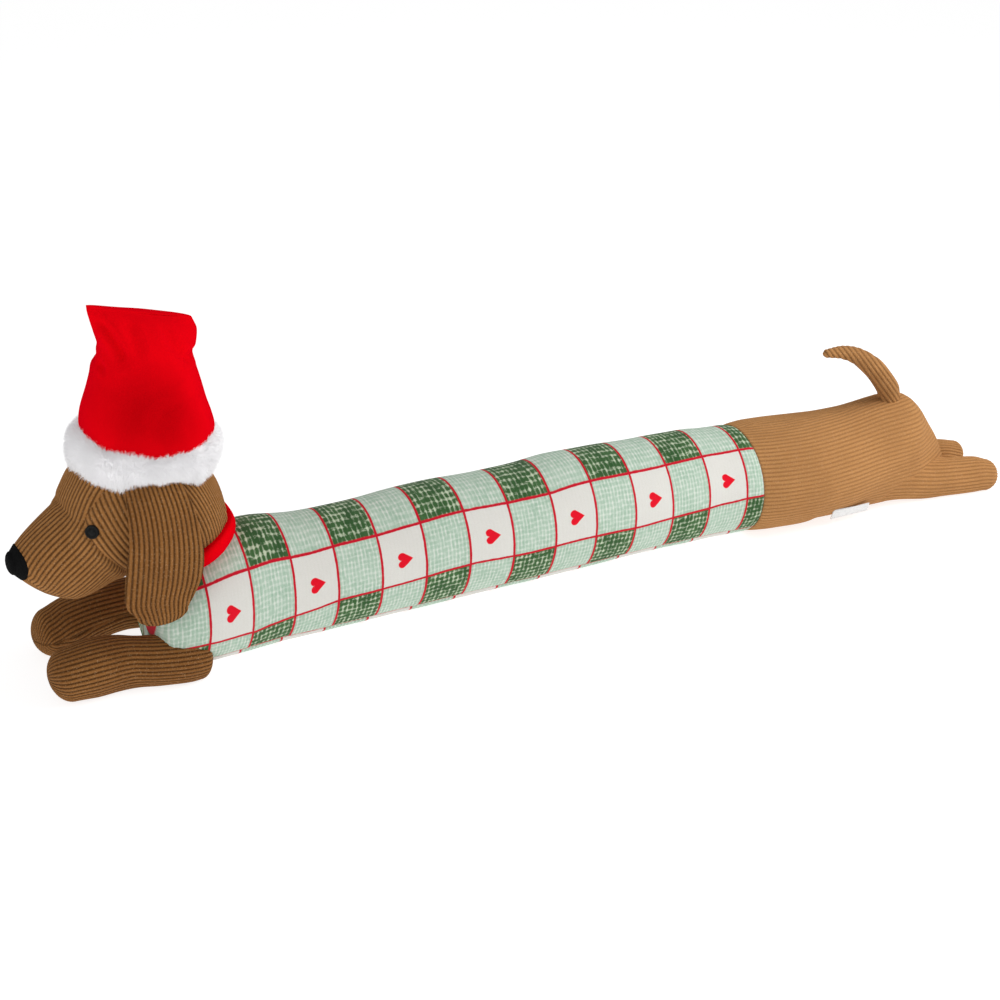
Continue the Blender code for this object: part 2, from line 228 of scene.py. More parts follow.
corduroy = {
    "ragged": 0.30, "ribEdge": (0.24, 1.0), "tufts": 760.0, "patches": 26.0, "wear": 0.75, "shade": 0.34,
    "glintScale": 980.0, "glintTint": (0.85, 0.60, 0.36), "bump": 0.0005,
}
# four copies of one corduroy: front for the head; shaded, darker, for the front legs and ears, is painted
# shade; rear, lighter with paler valleys, for the rump and hind legs, is partly painted light and partly the
# brushed nap; tail for the tail. Each Valley colour is the painted shade in the grooves.
corduroyTones = {
    "front": {"Rib": (0.450, 0.203, 0.062), "Valley": (0.120, 0.050, 0.014), "Worn": (0.345, 0.148, 0.043)},
    "shaded": {"Rib": (0.325, 0.139, 0.038), "Valley": (0.088, 0.034, 0.008), "Worn": (0.250, 0.101, 0.027)},
    "rear": {"Rib": (0.500, 0.245, 0.088), "Valley": (0.345, 0.164, 0.058), "Worn": (0.400, 0.190, 0.067)},
    "tail": {"Rib": (0.460, 0.222, 0.079), "Valley": (0.230, 0.105, 0.035), "Worn": (0.370, 0.175, 0.061)},
}


def makeWaleGroup(pile):
    # ribbed pile cloth, its ribs counted by the first map coordinate: shade is painted across each rounded
    # rib, darkest in the valleys
    tree, takes, gives = newGroup(
        "wales", {"Map": "vector", "Place": "vector", "Rib": "colour", "Valley": "colour", "Worn": "colour"},
        {"Colour": "colour", "Height": "value", "Roughness": "value"})
    count = addNode(tree, "SeparateXYZ", {0: takes["Map"]}).outputs[0]
    rib = calc(tree, "ABSOLUTE", calc(tree, "SINE", times(tree, count, math.pi)))
    ragged = noise(tree, stretched(tree, takes["Map"], (1.0, 2.0, 1.0)), 2.2, 3.0, 0.7)
    edge = plus(tree, rib, times(tree, minus(tree, ragged, 0.5), corduroy["ragged"]))
    onRib = ramp(tree, edge, *corduroy["ribEdge"])
    tuft = useGroup(tree, pile, {"Place": takes["Place"], "Fine": corduroy["tufts"],
                                 "Broad": corduroy["patches"]})
    worn = mixColour(tree, times(tree, tuft["Nap"], corduroy["wear"]), takes["Rib"], takes["Worn"])
    speckled = mixColour(tree, times(tree, tuft["Tips"], corduroy["shade"]), worn, takes["Valley"])
    # painted shade: the colour falls from the rib colour to the darker valley colour toward each groove
    ribbed = mixColour(tree, onRib, takes["Valley"], speckled)
    ends = noise(tree, takes["Place"], corduroy["glintScale"], 2.0, 0.7)  # painted glints: fine pale flecks where single fibres catch the light
    pale = mixColour(tree, 0.45, takes["Rib"], corduroy["glintTint"])
    flecked = mixColour(tree, ramp(tree, ends, 0.52, 0.78, 0.0, 0.5), ribbed, pale)
    fuzz = times(tree, tuft["Tips"], 0.35)
    height = plus(tree, calc(tree, "POWER", rib, 0.6), fuzz)
    feed(tree, gives, {"Colour": flecked, "Height": height,
                       "Roughness": ramp(tree, tuft["Tips"], 0.0, 1.0, 0.78, 0.95)})
    return tree


def makeThreadGroup():
    # crossed stripes of a loose weave: Upright and Level are how many of each cross one cell
    tree, takes, gives = newGroup("threads", {"Map": "vector", "Upright": "value", "Level": "value"},
                                  {"Warp": "value", "Weft": "value"})
    parts = addNode(tree, "SeparateXYZ", {0: takes["Map"]}).outputs
    ways = ((0, "Upright", (1.0, 0.4, 1.0), "Warp"), (1, "Level", (0.4, 1.0, 1.0), "Weft"))
    for axis, count, thin, result in ways:
        wobble = minus(tree, noise(tree, takes["Map"], 3.0 + axis, 2.0), 0.5)
        place = plus(tree, times(tree, parts[axis], takes[count]), times(tree, wobble, 0.6))
        wave = calc(tree, "COSINE", times(tree, place, fullTurn))
        stripe = plus(tree, times(tree, wave, 0.5), 0.5)
        broken = noise(tree, stretched(tree, takes["Map"], thin), 15.0 + 3.0 * axis, 2.0, 0.65)
        strength = ramp(tree, broken, 0.34, 0.62, 0.15, 1.0)
        feed(tree, gives, {result: times(tree, ramp(tree, stripe, 0.25, 0.95), strength)})
    return tree


pileGroup = makePileGroup()
waleGroup = makeWaleGroup(pileGroup)
threadGroup = makeThreadGroup()


def makeCorduroy(name, tones):
    coat, tree, shader = newCoat(name, 0.88, 0.15, 0.45, (1.0, 0.6, 0.3), 0.08)
    wale = useGroup(tree, waleGroup, {"Map": clothMap(tree), "Place": objectPlace(tree), **tones})
    feed(tree, shader.inputs, {"Base Color": wale["Colour"], "Roughness": wale["Roughness"]})
    addBump(tree, shader, wale["Height"], corduroy["bump"], 0.8)
    return coat


plush = {
    "paintedShadeAt": (-2.6, 23.6, 0.0),  # x and height in cm, on the hat, where the painted shade is deepest
    "litRed": (0.90, 0.0010, 0.0060), "shadedRed": (0.56, 0.0005, 0.0035), "root": (0.40, 0.0004, 0.0030),
    "sheen": (1.0, 0.0, 0.02),
}


def makePlush():
    coat, tree, shader = newCoat("redPlush", 0.75, 1.0, 0.3, plush["sheen"], 0.0)
    pile = useGroup(tree, pileGroup, {"Place": objectPlace(tree), "Fine": 1700.0, "Broad": 22.0})
    # painted shade and light: the red darkens toward a spot low in the middle of the hat and lightens toward
    # its edges, mixed with the random nap
    gap = addNode(tree, "VectorMath", {0: clothMap(tree), 1: plush["paintedShadeAt"]}, operation="DISTANCE")
    away = ramp(tree, gap.outputs["Value"], 0.4, 5.6)
    lightAndNap = plus(tree, away, times(tree, pile["Nap"], 0.35), clamp=True)
    colour = mixColour(tree, lightAndNap, plush["shadedRed"], plush["litRed"])
    colour = mixColour(tree, times(tree, pile["Tips"], 0.2), colour, plush["root"])
    rough = ramp(tree, pile["Tips"], 0.0, 1.0, 0.6, 0.85)
    feed(tree, shader.inputs, {"Base Color": colour, "Roughness": rough})
    addBump(tree, shader, pile["Tips"], 0.0003, 0.6)
    return coat


def makeFur():
    coat, tree, shader = newCoat("whiteFur", 0.85, gloss=0.0)
    pile = useGroup(tree, pileGroup, {"Place": objectPlace(tree), "Fine": 900.0, "Broad": 45.0})
    colour = mixColour(tree, pile["Nap"], (0.965, 0.955, 0.965), (0.985, 0.98, 0.985))
    rough = ramp(tree, pile["Tips"], 0.0, 1.0, 0.75, 0.95)
    feed(tree, shader.inputs, {"Base Color": colour, "Roughness": rough})
    # painted light: the fur glows faintly, to lift it where the locks shade one another
    shader.inputs["Emission Color"].default_value = (0.99, 0.97, 1.0, 1.0)
    shader.inputs["Emission Strength"].default_value = 0.21
    return coat


def makeFelt():
    coat, tree, shader = newCoat("blackFelt", 0.95, gloss=0.05)
    pile = useGroup(tree, pileGroup, {"Place": objectPlace(tree), "Fine": 1400.0, "Broad": 90.0})
    colour = mixColour(tree, pile["Tips"], (0.004, 0.004, 0.004), (0.009, 0.009, 0.009))
    rough = ramp(tree, pile["Nap"], 0.0, 1.0, 0.85, 1.0)
    feed(tree, shader.inputs, {"Base Color": colour, "Roughness": rough})
    addBump(tree, shader, pile["Tips"], 0.0004, 0.7)
    return coat


def makePlastic():
    coat, tree, shader = newCoat("blackPlastic", 0.45, gloss=0.12)
    marks = noise(tree, objectPlace(tree), 900.0, 3.0, 0.6)
    colour = mixColour(tree, marks, (0.005, 0.005, 0.005), (0.010, 0.010, 0.009))
    rough = ramp(tree, marks, 0.35, 0.7, 0.34, 0.5)
    feed(tree, shader.inputs, {"Base Color": colour, "Roughness": rough})
    return coat


def makeTape():
    coat, tree, shader = newCoat("whiteTape", 0.7, gloss=0.2)
    wires = {"Vector": clothMap(tree), "Scale": 14.0, "Distortion": 0.6}
    weave = addNode(tree, "TexWave", wires).outputs["Fac"]
    colour = mixColour(tree, weave, (0.80, 0.80, 0.80), (0.88, 0.88, 0.87))
    rough = ramp(tree, weave, 0.0, 1.0, 0.6, 0.8)
    feed(tree, shader.inputs, {"Base Color": colour, "Roughness": rough})
    addBump(tree, shader, weave, 0.0002, 0.5)
    return coat


printTones = {
    "white": (0.76, 0.745, 0.70), "whiteThread": (0.70, 0.69, 0.62), "red": (0.60, 0.008, 0.026),
    "light": (0.33, 0.50, 0.37), "lighter": (0.50, 0.64, 0.52), "lightThread": (0.72, 0.78, 0.70),
    "dark": (0.034, 0.100, 0.030), "darker": (0.060, 0.150, 0.050), "darkThread": (0.58, 0.67, 0.48),
    "heart": (0.80, 0.004, 0.020), "pileShade": (0.30, 0.30, 0.27),
}
printThreads = {"pale": {"Upright": 12.0, "Level": 11.0}, "bold": {"Upright": 9.6, "Level": 9.4}}
printLineHalf = {"upright": 0.026, "level": 0.021}  # half widths of the red lines, in cells
heart = {
    "across": 0.56, "along": 0.527,  # where its middle lies in the cell
    "wide": 7.2, "long": 5.5,  # heart units to a cell, each way
    "lobe": (0.48, 0.38), "lobeRadius": 0.50, "slope": 39.19, "point": -1.0, "top": 0.45,
}


def heartEdge(tree, inColumn, inRow):
    # distance outside a heart on its side, its point toward the tail: two round lobes and a wedge
    lean, radius = math.radians(heart["slope"]), heart["lobeRadius"]
    lobeX, lobeY = heart["lobe"]
    shoulderX, shoulderY = lobeX + radius * math.cos(lean), lobeY - radius * math.sin(lean)
    fromMiddle = calc(tree, "ABSOLUTE", minus(tree, inRow, heart["across"]))
    across = times(tree, fromMiddle, heart["wide"])
    along = times(tree, minus(tree, heart["along"], inColumn), heart["long"])
    overX, overY = minus(tree, across, lobeX), minus(tree, along, lobeY)
    spread = plus(tree, times(tree, overX, overX), times(tree, overY, overY))
    lobe = minus(tree, calc(tree, "SQRT", spread), radius)
    point = times(tree, minus(tree, along, heart["point"]), math.sin(lean))
    side = minus(tree, times(tree, across, math.cos(lean)), point)
    capX = times(tree, minus(tree, across, shoulderX), math.sin(lean))
    capY = times(tree, minus(tree, along, shoulderY), math.cos(lean))
    wedge = calc(tree, "MAXIMUM", side, plus(tree, capX, capY))
    wedge = calc(tree, "MAXIMUM", wedge, minus(tree, along, heart["top"]))
    return calc(tree, "MINIMUM", lobe, wedge)


def makePrint():
    # a check of two by two cells on short pile: white with a heart and light green, light and dark green
    coat, tree, shader = newCoat("checkPrint", 0.85, sheen=0.1, gloss=0.05)
    sheet = clothMap(tree)
    parts = addNode(tree, "SeparateXYZ", {0: sheet}).outputs
    ragged = minus(tree, noise(tree, sheet, 9.0, 3.0, 0.6), 0.5)
    wander = minus(tree, noise(tree, sheet, 1.4, 1.0), 0.5)
    column = plus(tree, parts[0], times(tree, wander, 0.018))
    row = plus(tree, parts[1], times(tree, wander, -0.022))
    inColumn, inRow = calc(tree, "FRACT", column), calc(tree, "FRACT", row)
    oddColumn = calc(tree, "FLOORED_MODULO", calc(tree, "FLOOR", column), 2.0)
    oddRow = calc(tree, "FLOORED_MODULO", calc(tree, "FLOOR", row), 2.0)
    dark = times(tree, oddColumn, oddRow)
    white = times(tree, minus(tree, 1.0, oddColumn), minus(tree, 1.0, oddRow))
    # the loose strokes of each kind of cell
    blotch = ramp(tree, noise(tree, sheet, 2.6, 3.0, 0.6), 0.32, 0.70)
    streaks = ramp(tree, noise(tree, stretched(tree, sheet, (3.0, 0.8, 1.0)), 6.0, 3.0, 0.7), 0.3, 0.7)
    pale = useGroup(tree, threadGroup, {"Map": sheet, **printThreads["pale"]})
    bold = useGroup(tree, threadGroup, {"Map": sheet, **printThreads["bold"]})
    uneven = plus(tree, times(tree, blotch, 0.5), times(tree, streaks, 0.5))
    green = mixColour(tree, uneven, printTones["light"], printTones["lighter"])
    paleShare = plus(tree, times(tree, pale["Warp"], 0.72), times(tree, pale["Weft"], 0.50))
    green = mixColour(tree, paleShare, green, printTones["lightThread"])
    deep = mixColour(tree, blotch, printTones["dark"], printTones["darker"])
    boldShare = plus(tree, times(tree, bold["Warp"], 0.60), times(tree, bold["Weft"], 0.60))
    boldShare = times(tree, boldShare, ramp(tree, blotch, 0.0, 0.7, 0.7, 1.0))
    deep = mixColour(tree, ramp(tree, boldShare, 0.16, 0.90), deep, printTones["darkThread"])
    colour = mixColour(tree, dark, green, deep)
    plain = mixColour(tree, times(tree, pale["Warp"], 0.25), printTones["white"], printTones["whiteThread"])
    colour = mixColour(tree, white, colour, plain)
    outside = plus(tree, heartEdge(tree, inColumn, inRow), times(tree, ragged, 0.10))
    inHeart = times(tree, ramp(tree, outside, -0.05, 0.05, 1.0, 0.0), white)
    colour = mixColour(tree, inHeart, colour, printTones["heart"])
    lines = []
    for inside, half in ((inColumn, printLineHalf["upright"]), (inRow, printLineHalf["level"])):
        gap = minus(tree, 0.5, calc(tree, "ABSOLUTE", minus(tree, inside, 0.5)))
        frayed = plus(tree, gap, times(tree, ragged, 0.018))
        lines.append(ramp(tree, frayed, half - 0.006, half + 0.008, 1.0, 0.0))
    colour = mixColour(tree, calc(tree, "MAXIMUM", *lines), colour, printTones["red"])
    pile = useGroup(tree, pileGroup, {"Place": objectPlace(tree), "Fine": 1600.0, "Broad": 30.0})
    colour = mixColour(tree, times(tree, pile["Tips"], 0.10), colour, printTones["pileShade"], "MULTIPLY")
    rough = ramp(tree, pile["Nap"], 0.0, 1.0, 0.75, 0.92)
    feed(tree, shader.inputs, {"Base Color": colour, "Roughness": rough})
    addBump(tree, shader, pile["Tips"], 0.0003, 0.5)
    return coat


coats = {
    "front": makeCorduroy("corduroyFront", corduroyTones["front"]),
    "shaded": makeCorduroy("corduroyShaded", corduroyTones["shaded"]),
    "rear": makeCorduroy("corduroyRear", corduroyTones["rear"]),
    "tail": makeCorduroy("corduroyTail", corduroyTones["tail"]),
    "plush": makePlush(),
    "fur": makeFur(),
    "felt": makeFelt(),
    "plastic": makePlastic(),
    "tape": makeTape(),
    "print": makePrint(),
}
print("cloths made")


# shapes

def lookUp(value, table):
    # reads a table of places and values at any place
    return np.interp(value, *np.array(table, float).T)


def smoothRows(rows, perSpan=12):
    # points on a smooth curve through the rows of a table
    rows = np.array(rows, float)
    ends = np.vstack([2 * rows[0] - rows[1], rows, 2 * rows[-1] - rows[-2]])
    t = (np.arange(perSpan) / perSpan)[:, None]
    spans = []
    for i in range(1, len(rows)):
        a, b, c, d = ends[i - 1 : i + 3]
        spans.append(0.5 * (2 * b + (c - a) * t + (2 * a - 5 * b + 4 * c - d) * t**2
                            + (3 * b - a - 3 * c + d) * t**3))
    return np.vstack([*spans, rows[-1:]])


def evenRows(rows, step, columns=1):
    # the same curve, with a row about every step mm along its first columns
    fine = smoothRows(rows)
    travel = np.r_[0.0, np.cumsum(np.linalg.norm(np.diff(fine[:, :columns], axis=0), axis=1))]
    places = np.linspace(0.0, travel[-1], int(travel[-1] / step) + 2)
    return np.stack([np.interp(places, travel, fine[:, k]) for k in range(fine.shape[1])], axis=1)


def unit(vectors):
    return vectors / np.maximum(np.linalg.norm(vectors, axis=-1, keepdims=True), 1e-9)


def hump(distance, width):
    # 1 at no distance, falling softly to nearly nothing at twice the width
    return np.exp(-((distance / width) ** 2))


def turnSteps(count):
    return np.arange(count) * fullTurn / count


def ovalPart(wave, square):
    # across or upward part of an oval: 2 is a true oval, and more is squarer
    return np.sign(wave) * np.abs(wave) ** (2.0 / square)


def squareFrames(centres):
    tangents = unit(np.gradient(np.array(centres, float), axis=0))
    sides = unit(np.array([0.0, 1.0, 0.0]) - tangents * tangents[:, 1:2])
    return np.cross(tangents, sides), sides


def fixedFrames(count, up, side):
    return np.tile(up, (count, 1)), np.tile(side, (count, 1))


def loftGrid(centres, frames, wide, high, around, caps=(0.0, 0.0), square=2.0, capSteps=10):
    # rows of points around oval sections, with a rounded end where a cap has a depth
    centres, angles = np.array(centres, float), turnSteps(around)
    ups, sides = frames
    tangents = unit(np.gradient(centres, axis=0))
    square = np.broadcast_to(np.array(square, float), len(centres))
    leans = [step / capSteps * math.pi / 2 * 0.98 for step in range(1, capSteps + 1)]
    last = len(centres) - 1
    rings = []

    def addRing(i, scale, push):
        across = ovalPart(np.cos(angles), square[i]) * wide[i] * scale
        upward = ovalPart(np.sin(angles), square[i]) * high[i] * scale
        middle = centres[i] + tangents[i] * push
        rings.append(middle + np.outer(across, sides[i]) + np.outer(upward, ups[i]))

    for lean in reversed(leans if caps[0] else []):
        addRing(0, math.cos(lean), -caps[0] * math.sin(lean))
    for i in range(len(centres)):
        addRing(i, 1.0, 0.0)
    for lean in leans if caps[1] else []:
        addRing(last, math.cos(lean), caps[1] * math.sin(lean))
    return np.array(rings)


def gridNormals(grid):
    around = np.roll(grid, -1, axis=1) - np.roll(grid, 1, axis=1)
    along = np.gradient(grid, axis=0)
    normals = unit(np.cross(around, along))
    outward = grid - grid.mean(axis=1, keepdims=True)
    if (normals * outward).sum() < 0:
        normals = -normals
    return normals


def pushed(grid, lift):
    # moves every point out along its normal
    return grid + gridNormals(grid) * lift[..., None]


def onFloor(grid):
    grid[..., 2] = np.maximum(grid[..., 2], 0.0)
    return grid


def lumps(points, size, seed, parts=10):
    # smooth random swelling between about -1 and 1, with bumps about size mm across
    draw = np.random.default_rng(seed)
    total = 0.0
    for _ in range(parts):
        way = unit(draw.normal(size=3)) * fullTurn / (size * draw.uniform(1.4, 3.2))
        total = total + np.sin(points @ way + draw.uniform(0, fullTurn))
    return total / math.sqrt(parts) * 0.8


def swelling(grid, waves):
    # each wave is the size of its lumps in mm, their seed, and their height in mm
    return sum(lumps(grid, size, seed) * height for size, seed, height in waves)


def ringTravel(grid, reference):
    # distance around each ring from the reference column, signed
    steps = np.linalg.norm(np.roll(grid, -1, axis=1) - grid, axis=2)
    travel = np.concatenate([np.zeros((len(grid), 1)), np.cumsum(steps, axis=1)], axis=1)
    whole = travel[:, -1:]
    travel = travel[:, :-1] - travel[:, reference : reference + 1]
    travel = np.where(travel > whole / 2, travel - whole, travel)
    return np.where(travel < -whole / 2, travel + whole, travel)


def inScene(points):
    return (points.reshape(-1, 3) - layoutCentre) * mm


def gridQuads(rows, around):
    i, j = np.indices((rows - 1, around))
    k = (j + 1) % around
    corners = [i * around + j, i * around + k, (i + 1) * around + k, (i + 1) * around + j]
    return np.stack(corners, axis=-1).reshape(-1, 4)


def cornersOf(values):
    # values at the four corners of each face of a closed grid
    after = np.roll(values, -1, axis=1)
    return np.stack([values[:-1], after[:-1], after[1:], values[1:]], axis=-1)


def plainMaps(grid, size, axes=(0, 2)):
    return np.stack([cornersOf(grid[..., axis] / size) for axis in axes], axis=-1)


def addLayer(mesh, name, values):
    # map values for the side faces: the end faces come last and keep zeros
    spots = np.zeros((len(mesh.loops), 2))
    spots[: values.size // 2] = values.reshape(-1, 2)
    mesh.uv_layers.new(name=name).data.foreach_set("uv", spots.ravel())


def linked(name, mesh, coat):
    mesh.polygons.foreach_set("use_smooth", [True] * len(mesh.polygons))
    mesh.materials.append(coat)
    made = bpy.data.objects.new(name, mesh)
    scene.collection.objects.link(made)
    return made


def gridObject(name, grid, cornerMaps, coat, keep=None):
    # a mesh of a grid closed around each row, its ends closed unless keep picks the faces to make
    rows, around = grid.shape[:2]
    i, j = np.indices((rows - 1, around))
    shares = [np.stack([(i + a) / (rows - 1), (j + b) / around], axis=-1)
              for a, b in ((0, 0), (0, 1), (1, 1), (1, 0))]
    spread = np.stack(shares, axis=2).reshape(-1, 4, 2)
    parts = [gridQuads(rows, around), cornerMaps.reshape(-1, 4, 2), spread]
    ends = [tuple(range(around)), tuple(range((rows - 1) * around, rows * around))]
    if keep is not None:
        parts = [part[keep.ravel()] for part in parts]
        ends = []
    quads, maps, spread = parts
    mesh = bpy.data.meshes.new(name)
    mesh.from_pydata(inScene(grid).tolist(), [], quads.tolist() + ends)
    addLayer(mesh, "cloth", maps)
    addLayer(mesh, "OFBake", spread)
    shape = bmesh.new()
    shape.from_mesh(mesh)
    loose = [vert for vert in shape.verts if not vert.link_faces]
    bmesh.ops.delete(shape, geom=loose, context="VERTS")
    if ends:
        bmesh.ops.recalc_face_normals(shape, faces=shape.faces)
    shape.to_mesh(mesh)
    shape.free()
    return linked(name, mesh, coat)


def ribbedObject(name, grid, wales, seam, axis, coat, depth, facePanel=None, keep=None, pinch=1.1):
    # wales counts the ribs, one count for each panel, seam is 1 on open cloth and 0 along a seam,
    # and axis is the one that the second map coordinate follows
    if facePanel is None:
        facePanel = np.zeros((grid.shape[0] - 1, grid.shape[1]), int)
    own = np.concatenate([facePanel, facePanel[-1:]])
    wale = np.take_along_axis(np.array(wales), own[None], axis=0)[0]
    along = cornersOf(grid[..., axis] / walePitch)
    rib = np.abs(np.sin(np.pi * wale)) ** 0.7 - 0.62
    grid = onFloor(pushed(grid, depth * rib * seam - pinch * (1 - seam)))
    corners = np.array([cornersOf(panel) for panel in wales])
    chosen = np.take_along_axis(corners, facePanel[None, ..., None], axis=0)[0]
    return gridObject(name, grid, np.stack([chosen, along], axis=-1), coat, keep)


def finishPiece(piece, nodes=()):
    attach(piece, "root")
    if nodes:
        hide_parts(*nodes)


# the printed sleeve

sleeve = {
    "rows": [  # x, half width, top height
        (-26, 44.0, 92.0), (-14, 49.0, 97.5), (4, 53.0, 103.0), (30, 53.0, 109.0), (60, 50.8, 109.0),
        (100, 50.0, 103.5), (160, 51.2, 102.5), (220, 51.5, 104.5), (300, 51.3, 102.5), (345, 51.0, 105.0),
        (385, 50.5, 104.5), (420, 50.0, 102.5), (440, 49.4, 101.5), (480, 49.0, 100.5), (500, 48.8, 98.5),
        (528, 49.5, 98.0),
    ],
    "shift": [(10, -3.0), (70, 0.0), (440, 0.0), (490, -2.0), (528, -6.0)],  # x, sideways
    "step": 2.4, "around": 180, "frontCap": 12.0,
    "swell": [(55.0, 4, 0.5), (24.0, 9, 0.25)],
    "bellySeam": {"turn": 225.0, "deep": 1.6, "wide": 1.6},
    "rearSeam": {"x": 528.0, "deep": 1.2, "wide": 3.0},
    # the print: size of a cell, how its columns bow along the body, and how its rows lie
    "cell": 39.3, "firstLine": 1.2, "bow": (3.8, 511.0),
    "printLines": [  # x, and the turn in degrees at which two red lines of the print run along the body
        (0, 141.0, 196.0), (40, 141.5, 199.8), (76, 139.4, 193.7), (116, 135.0, 185.5), (160, 133.0, 184.5),
        (200, 131.8, 183.0), (240, 130.0, 180.5), (280, 131.0, 182.3), (320, 131.5, 183.3),
        (360, 130.4, 183.8), (400, 130.5, 185.0), (440, 128.7, 183.0), (476, 126.9, 181.0),
        (513, 124.4, 177.0),
    ],
    "overTop": [(0.0, 0.0), (0.30, -1.0), (0.53, -2.0), (0.77, -3.0), (1.0, -4.0)],  # share, print row
    "skew": [(-4.0, 8.4), (-1.0, -3.6), (2.0, 3.6)],  # print row, shift along the body
}


def printMaps(grid, degrees):
    # counts rows of the print downward from the upper red line, and back over the top to the seam
    spots, upper, lower = np.array(sleeve["printLines"]).T
    x = grid[..., 0]
    upper, lower = np.interp(x, spots, upper), np.interp(x, spots, lower)
    turned = degrees - upper
    overTop = lookUp(turned / (sleeve["bellySeam"]["turn"] - 360.0 - upper), sleeve["overTop"])
    row = np.where(turned >= 0, turned / (lower - upper), overTop)
    bow, period = sleeve["bow"]
    place = x - sleeve["firstLine"] + bow * np.sin(fullTurn * x / period) + lookUp(row, sleeve["skew"])
    return np.stack([cornersOf(place / sleeve["cell"]), cornersOf(row)], axis=-1)


def makeSleeve():
    x, half, top = evenRows(sleeve["rows"], sleeve["step"]).T
    centres = np.stack([x, lookUp(x, sleeve["shift"]), (top - sink) / 2], axis=1)
    frames = fixedFrames(len(x), (0.0, 0.0, 1.0), (0.0, 1.0, 0.0))
    around, belly, rear = sleeve["around"], sleeve["bellySeam"], sleeve["rearSeam"]
    grid = loftGrid(centres, frames, half, (top + sink) / 2, around, (sleeve["frontCap"], 0.0))
    degrees = np.broadcast_to(np.degrees(turnSteps(around))[None, :], grid.shape[:2])
    below = (np.arange(around) >= int(belly["turn"] / 360 * around))[None, :]
    fromTop = printMaps(grid, np.where(below, degrees - 360.0, degrees))
    maps = np.where(below[..., None, None], fromTop, printMaps(grid, degrees))
    away = np.abs(degrees - belly["turn"]) * 0.9  # a degree is about 0.9 mm
    swell = swelling(grid, sleeve["swell"]) - belly["deep"] * hump(away, belly["wide"])
    ending = hump(grid[..., 0] - rear["x"], rear["wide"])
    grid = onFloor(pushed(grid, swell * (1 - ending) - rear["deep"] * ending))
    piece = gridObject("sleeve_cover", grid, maps, coats["print"])
    finishPiece(piece, ["sleeve"])


makeSleeve()
print("sleeve made")


# rump and legs

rump = {
    "rows": [  # x, y, half width, top height
        (528.3, -6, 49.3, 97.6), (552, -9, 53.5, 98.5), (585, -12, 54.5, 97.5), (625, -13, 50.0, 95.2),
        (662, -13, 43.5, 96.3), (688, -14, 39.5, 100.0), (705, -15, 35.0, 98.5), (719, -16, 27.0, 87.0),
        (734, -17, 18.0, 66.0), (748, -18, 10.0, 44.0),
    ],
    "step": 2.2, "around": 440, "rearCap": 5.0, "depth": 0.5,
    "swell": [(48.0, 21, 1.0), (18.0, 5, 0.3)],
    "dents": [  # place, deep, wide
        ((600.0, -47.0, 6.0), 5.0, 8.0), ((705.0, -30.0, 28.0), 2.0, 10.0),
        ((650.0, -50.0, 66.0), 1.2, 20.0),
    ],
    "frontSeam": {"x": 528.3, "deep": 0.8, "wide": 3.0},
    "topSeam": {"from": 640.0, "fade": 30.0, "wide": 1.2, "girth": 310.0},
    "waleStart": 20.0,  # height of the first wale of the hind legs
}
legCloth = {"step": 2.2, "around": 200, "rootCap": 10.0, "lump": (22.0, 0.5), "depth": 0.8, "girth": 130.0,
            "seamWide": 1.3, "blend": 12.0}
# the front legs take the darker shaded corduroy, painted shade, and the hind legs the lighter rear corduroy,
# partly painted light
legs = {  # x, y, height of centre, half width, half height
    "hindLeft": {
        "rows": [(640, -32, 30, 15, 20), (690, -33, 23, 17.5, 19.5), (722, -37, 17.5, 17.5, 18.5),
                 (750, -42, 15.5, 17, 17.5), (772, -46, 15, 17, 17), (784, -48, 13, 15, 15)],
        "tip": 13.0, "side": -1, "seed": 19, "coat": "rear",
    },
    "hindRight": {
        "rows": [(640, 2, 24, 20, 26), (690, 6, 22, 20, 24), (722, 8, 17, 16, 19), (750, 8, 14, 14.5, 16),
                 (772, 6, 13.5, 15, 15.5), (788, 5, 11.5, 13, 13.5)],
        "tip": 10.0, "side": 1, "seed": 20, "coat": "rear",
    },
    "frontLeft": {
        "rows": [(-5, -36, 17.5, 19, 19.5), (-16, -36, 18.5, 20.5, 20.5), (-36, -31, 19, 19.5, 21),
                 (-54, -25, 19.5, 18.5, 21.5), (-70, -23, 21, 20.5, 23), (-90, -23, 22, 23.5, 24),
                 (-108, -22, 20, 21.5, 22)],
        "tip": 17.0, "side": -1, "seed": 20, "coat": "shaded",
    },
    "frontRight": {
        "rows": [(0, 40, 33, 17, 22), (-14, 43, 33, 20, 23), (-40, 49, 32, 19.5, 22),
                 (-64, 52, 28, 21, 22.5), (-84, 54, 22.5, 22.5, 23), (-99, 54, 19.5, 20.5, 21)],
        "tip": 17.0, "side": 1, "seed": 21, "coat": "shaded",
    },
}


def legGrid(leg, step, around):
    rows = evenRows(leg["rows"], step, 2)
    centres, (wide, high) = rows[:, :3], rows[:, 3:].T
    caps = (legCloth["rootCap"], leg["tip"])
    return onFloor(loftGrid(centres, squareFrames(centres), wide, high, around, caps, capSteps=14))


def polygonsOf(grid):
    return inScene(grid).tolist(), gridQuads(*grid.shape[:2]).tolist()


def blendInto(grid, other, reach):
    # swells a surface where it nears the other one, so that the two run together in a soft fold
    tree = BVHTree.FromPolygons(*other)
    points = inScene(grid)
    lift = np.zeros(len(points))
    for i, point in enumerate(points):
        near = tree.find_nearest(Vector(point), reach * mm)
        if near[0] is not None:
            share = 1 - near[3] / (reach * mm)
            lift[i] = share * share * reach / 6
    return lift.reshape(grid.shape[:2])


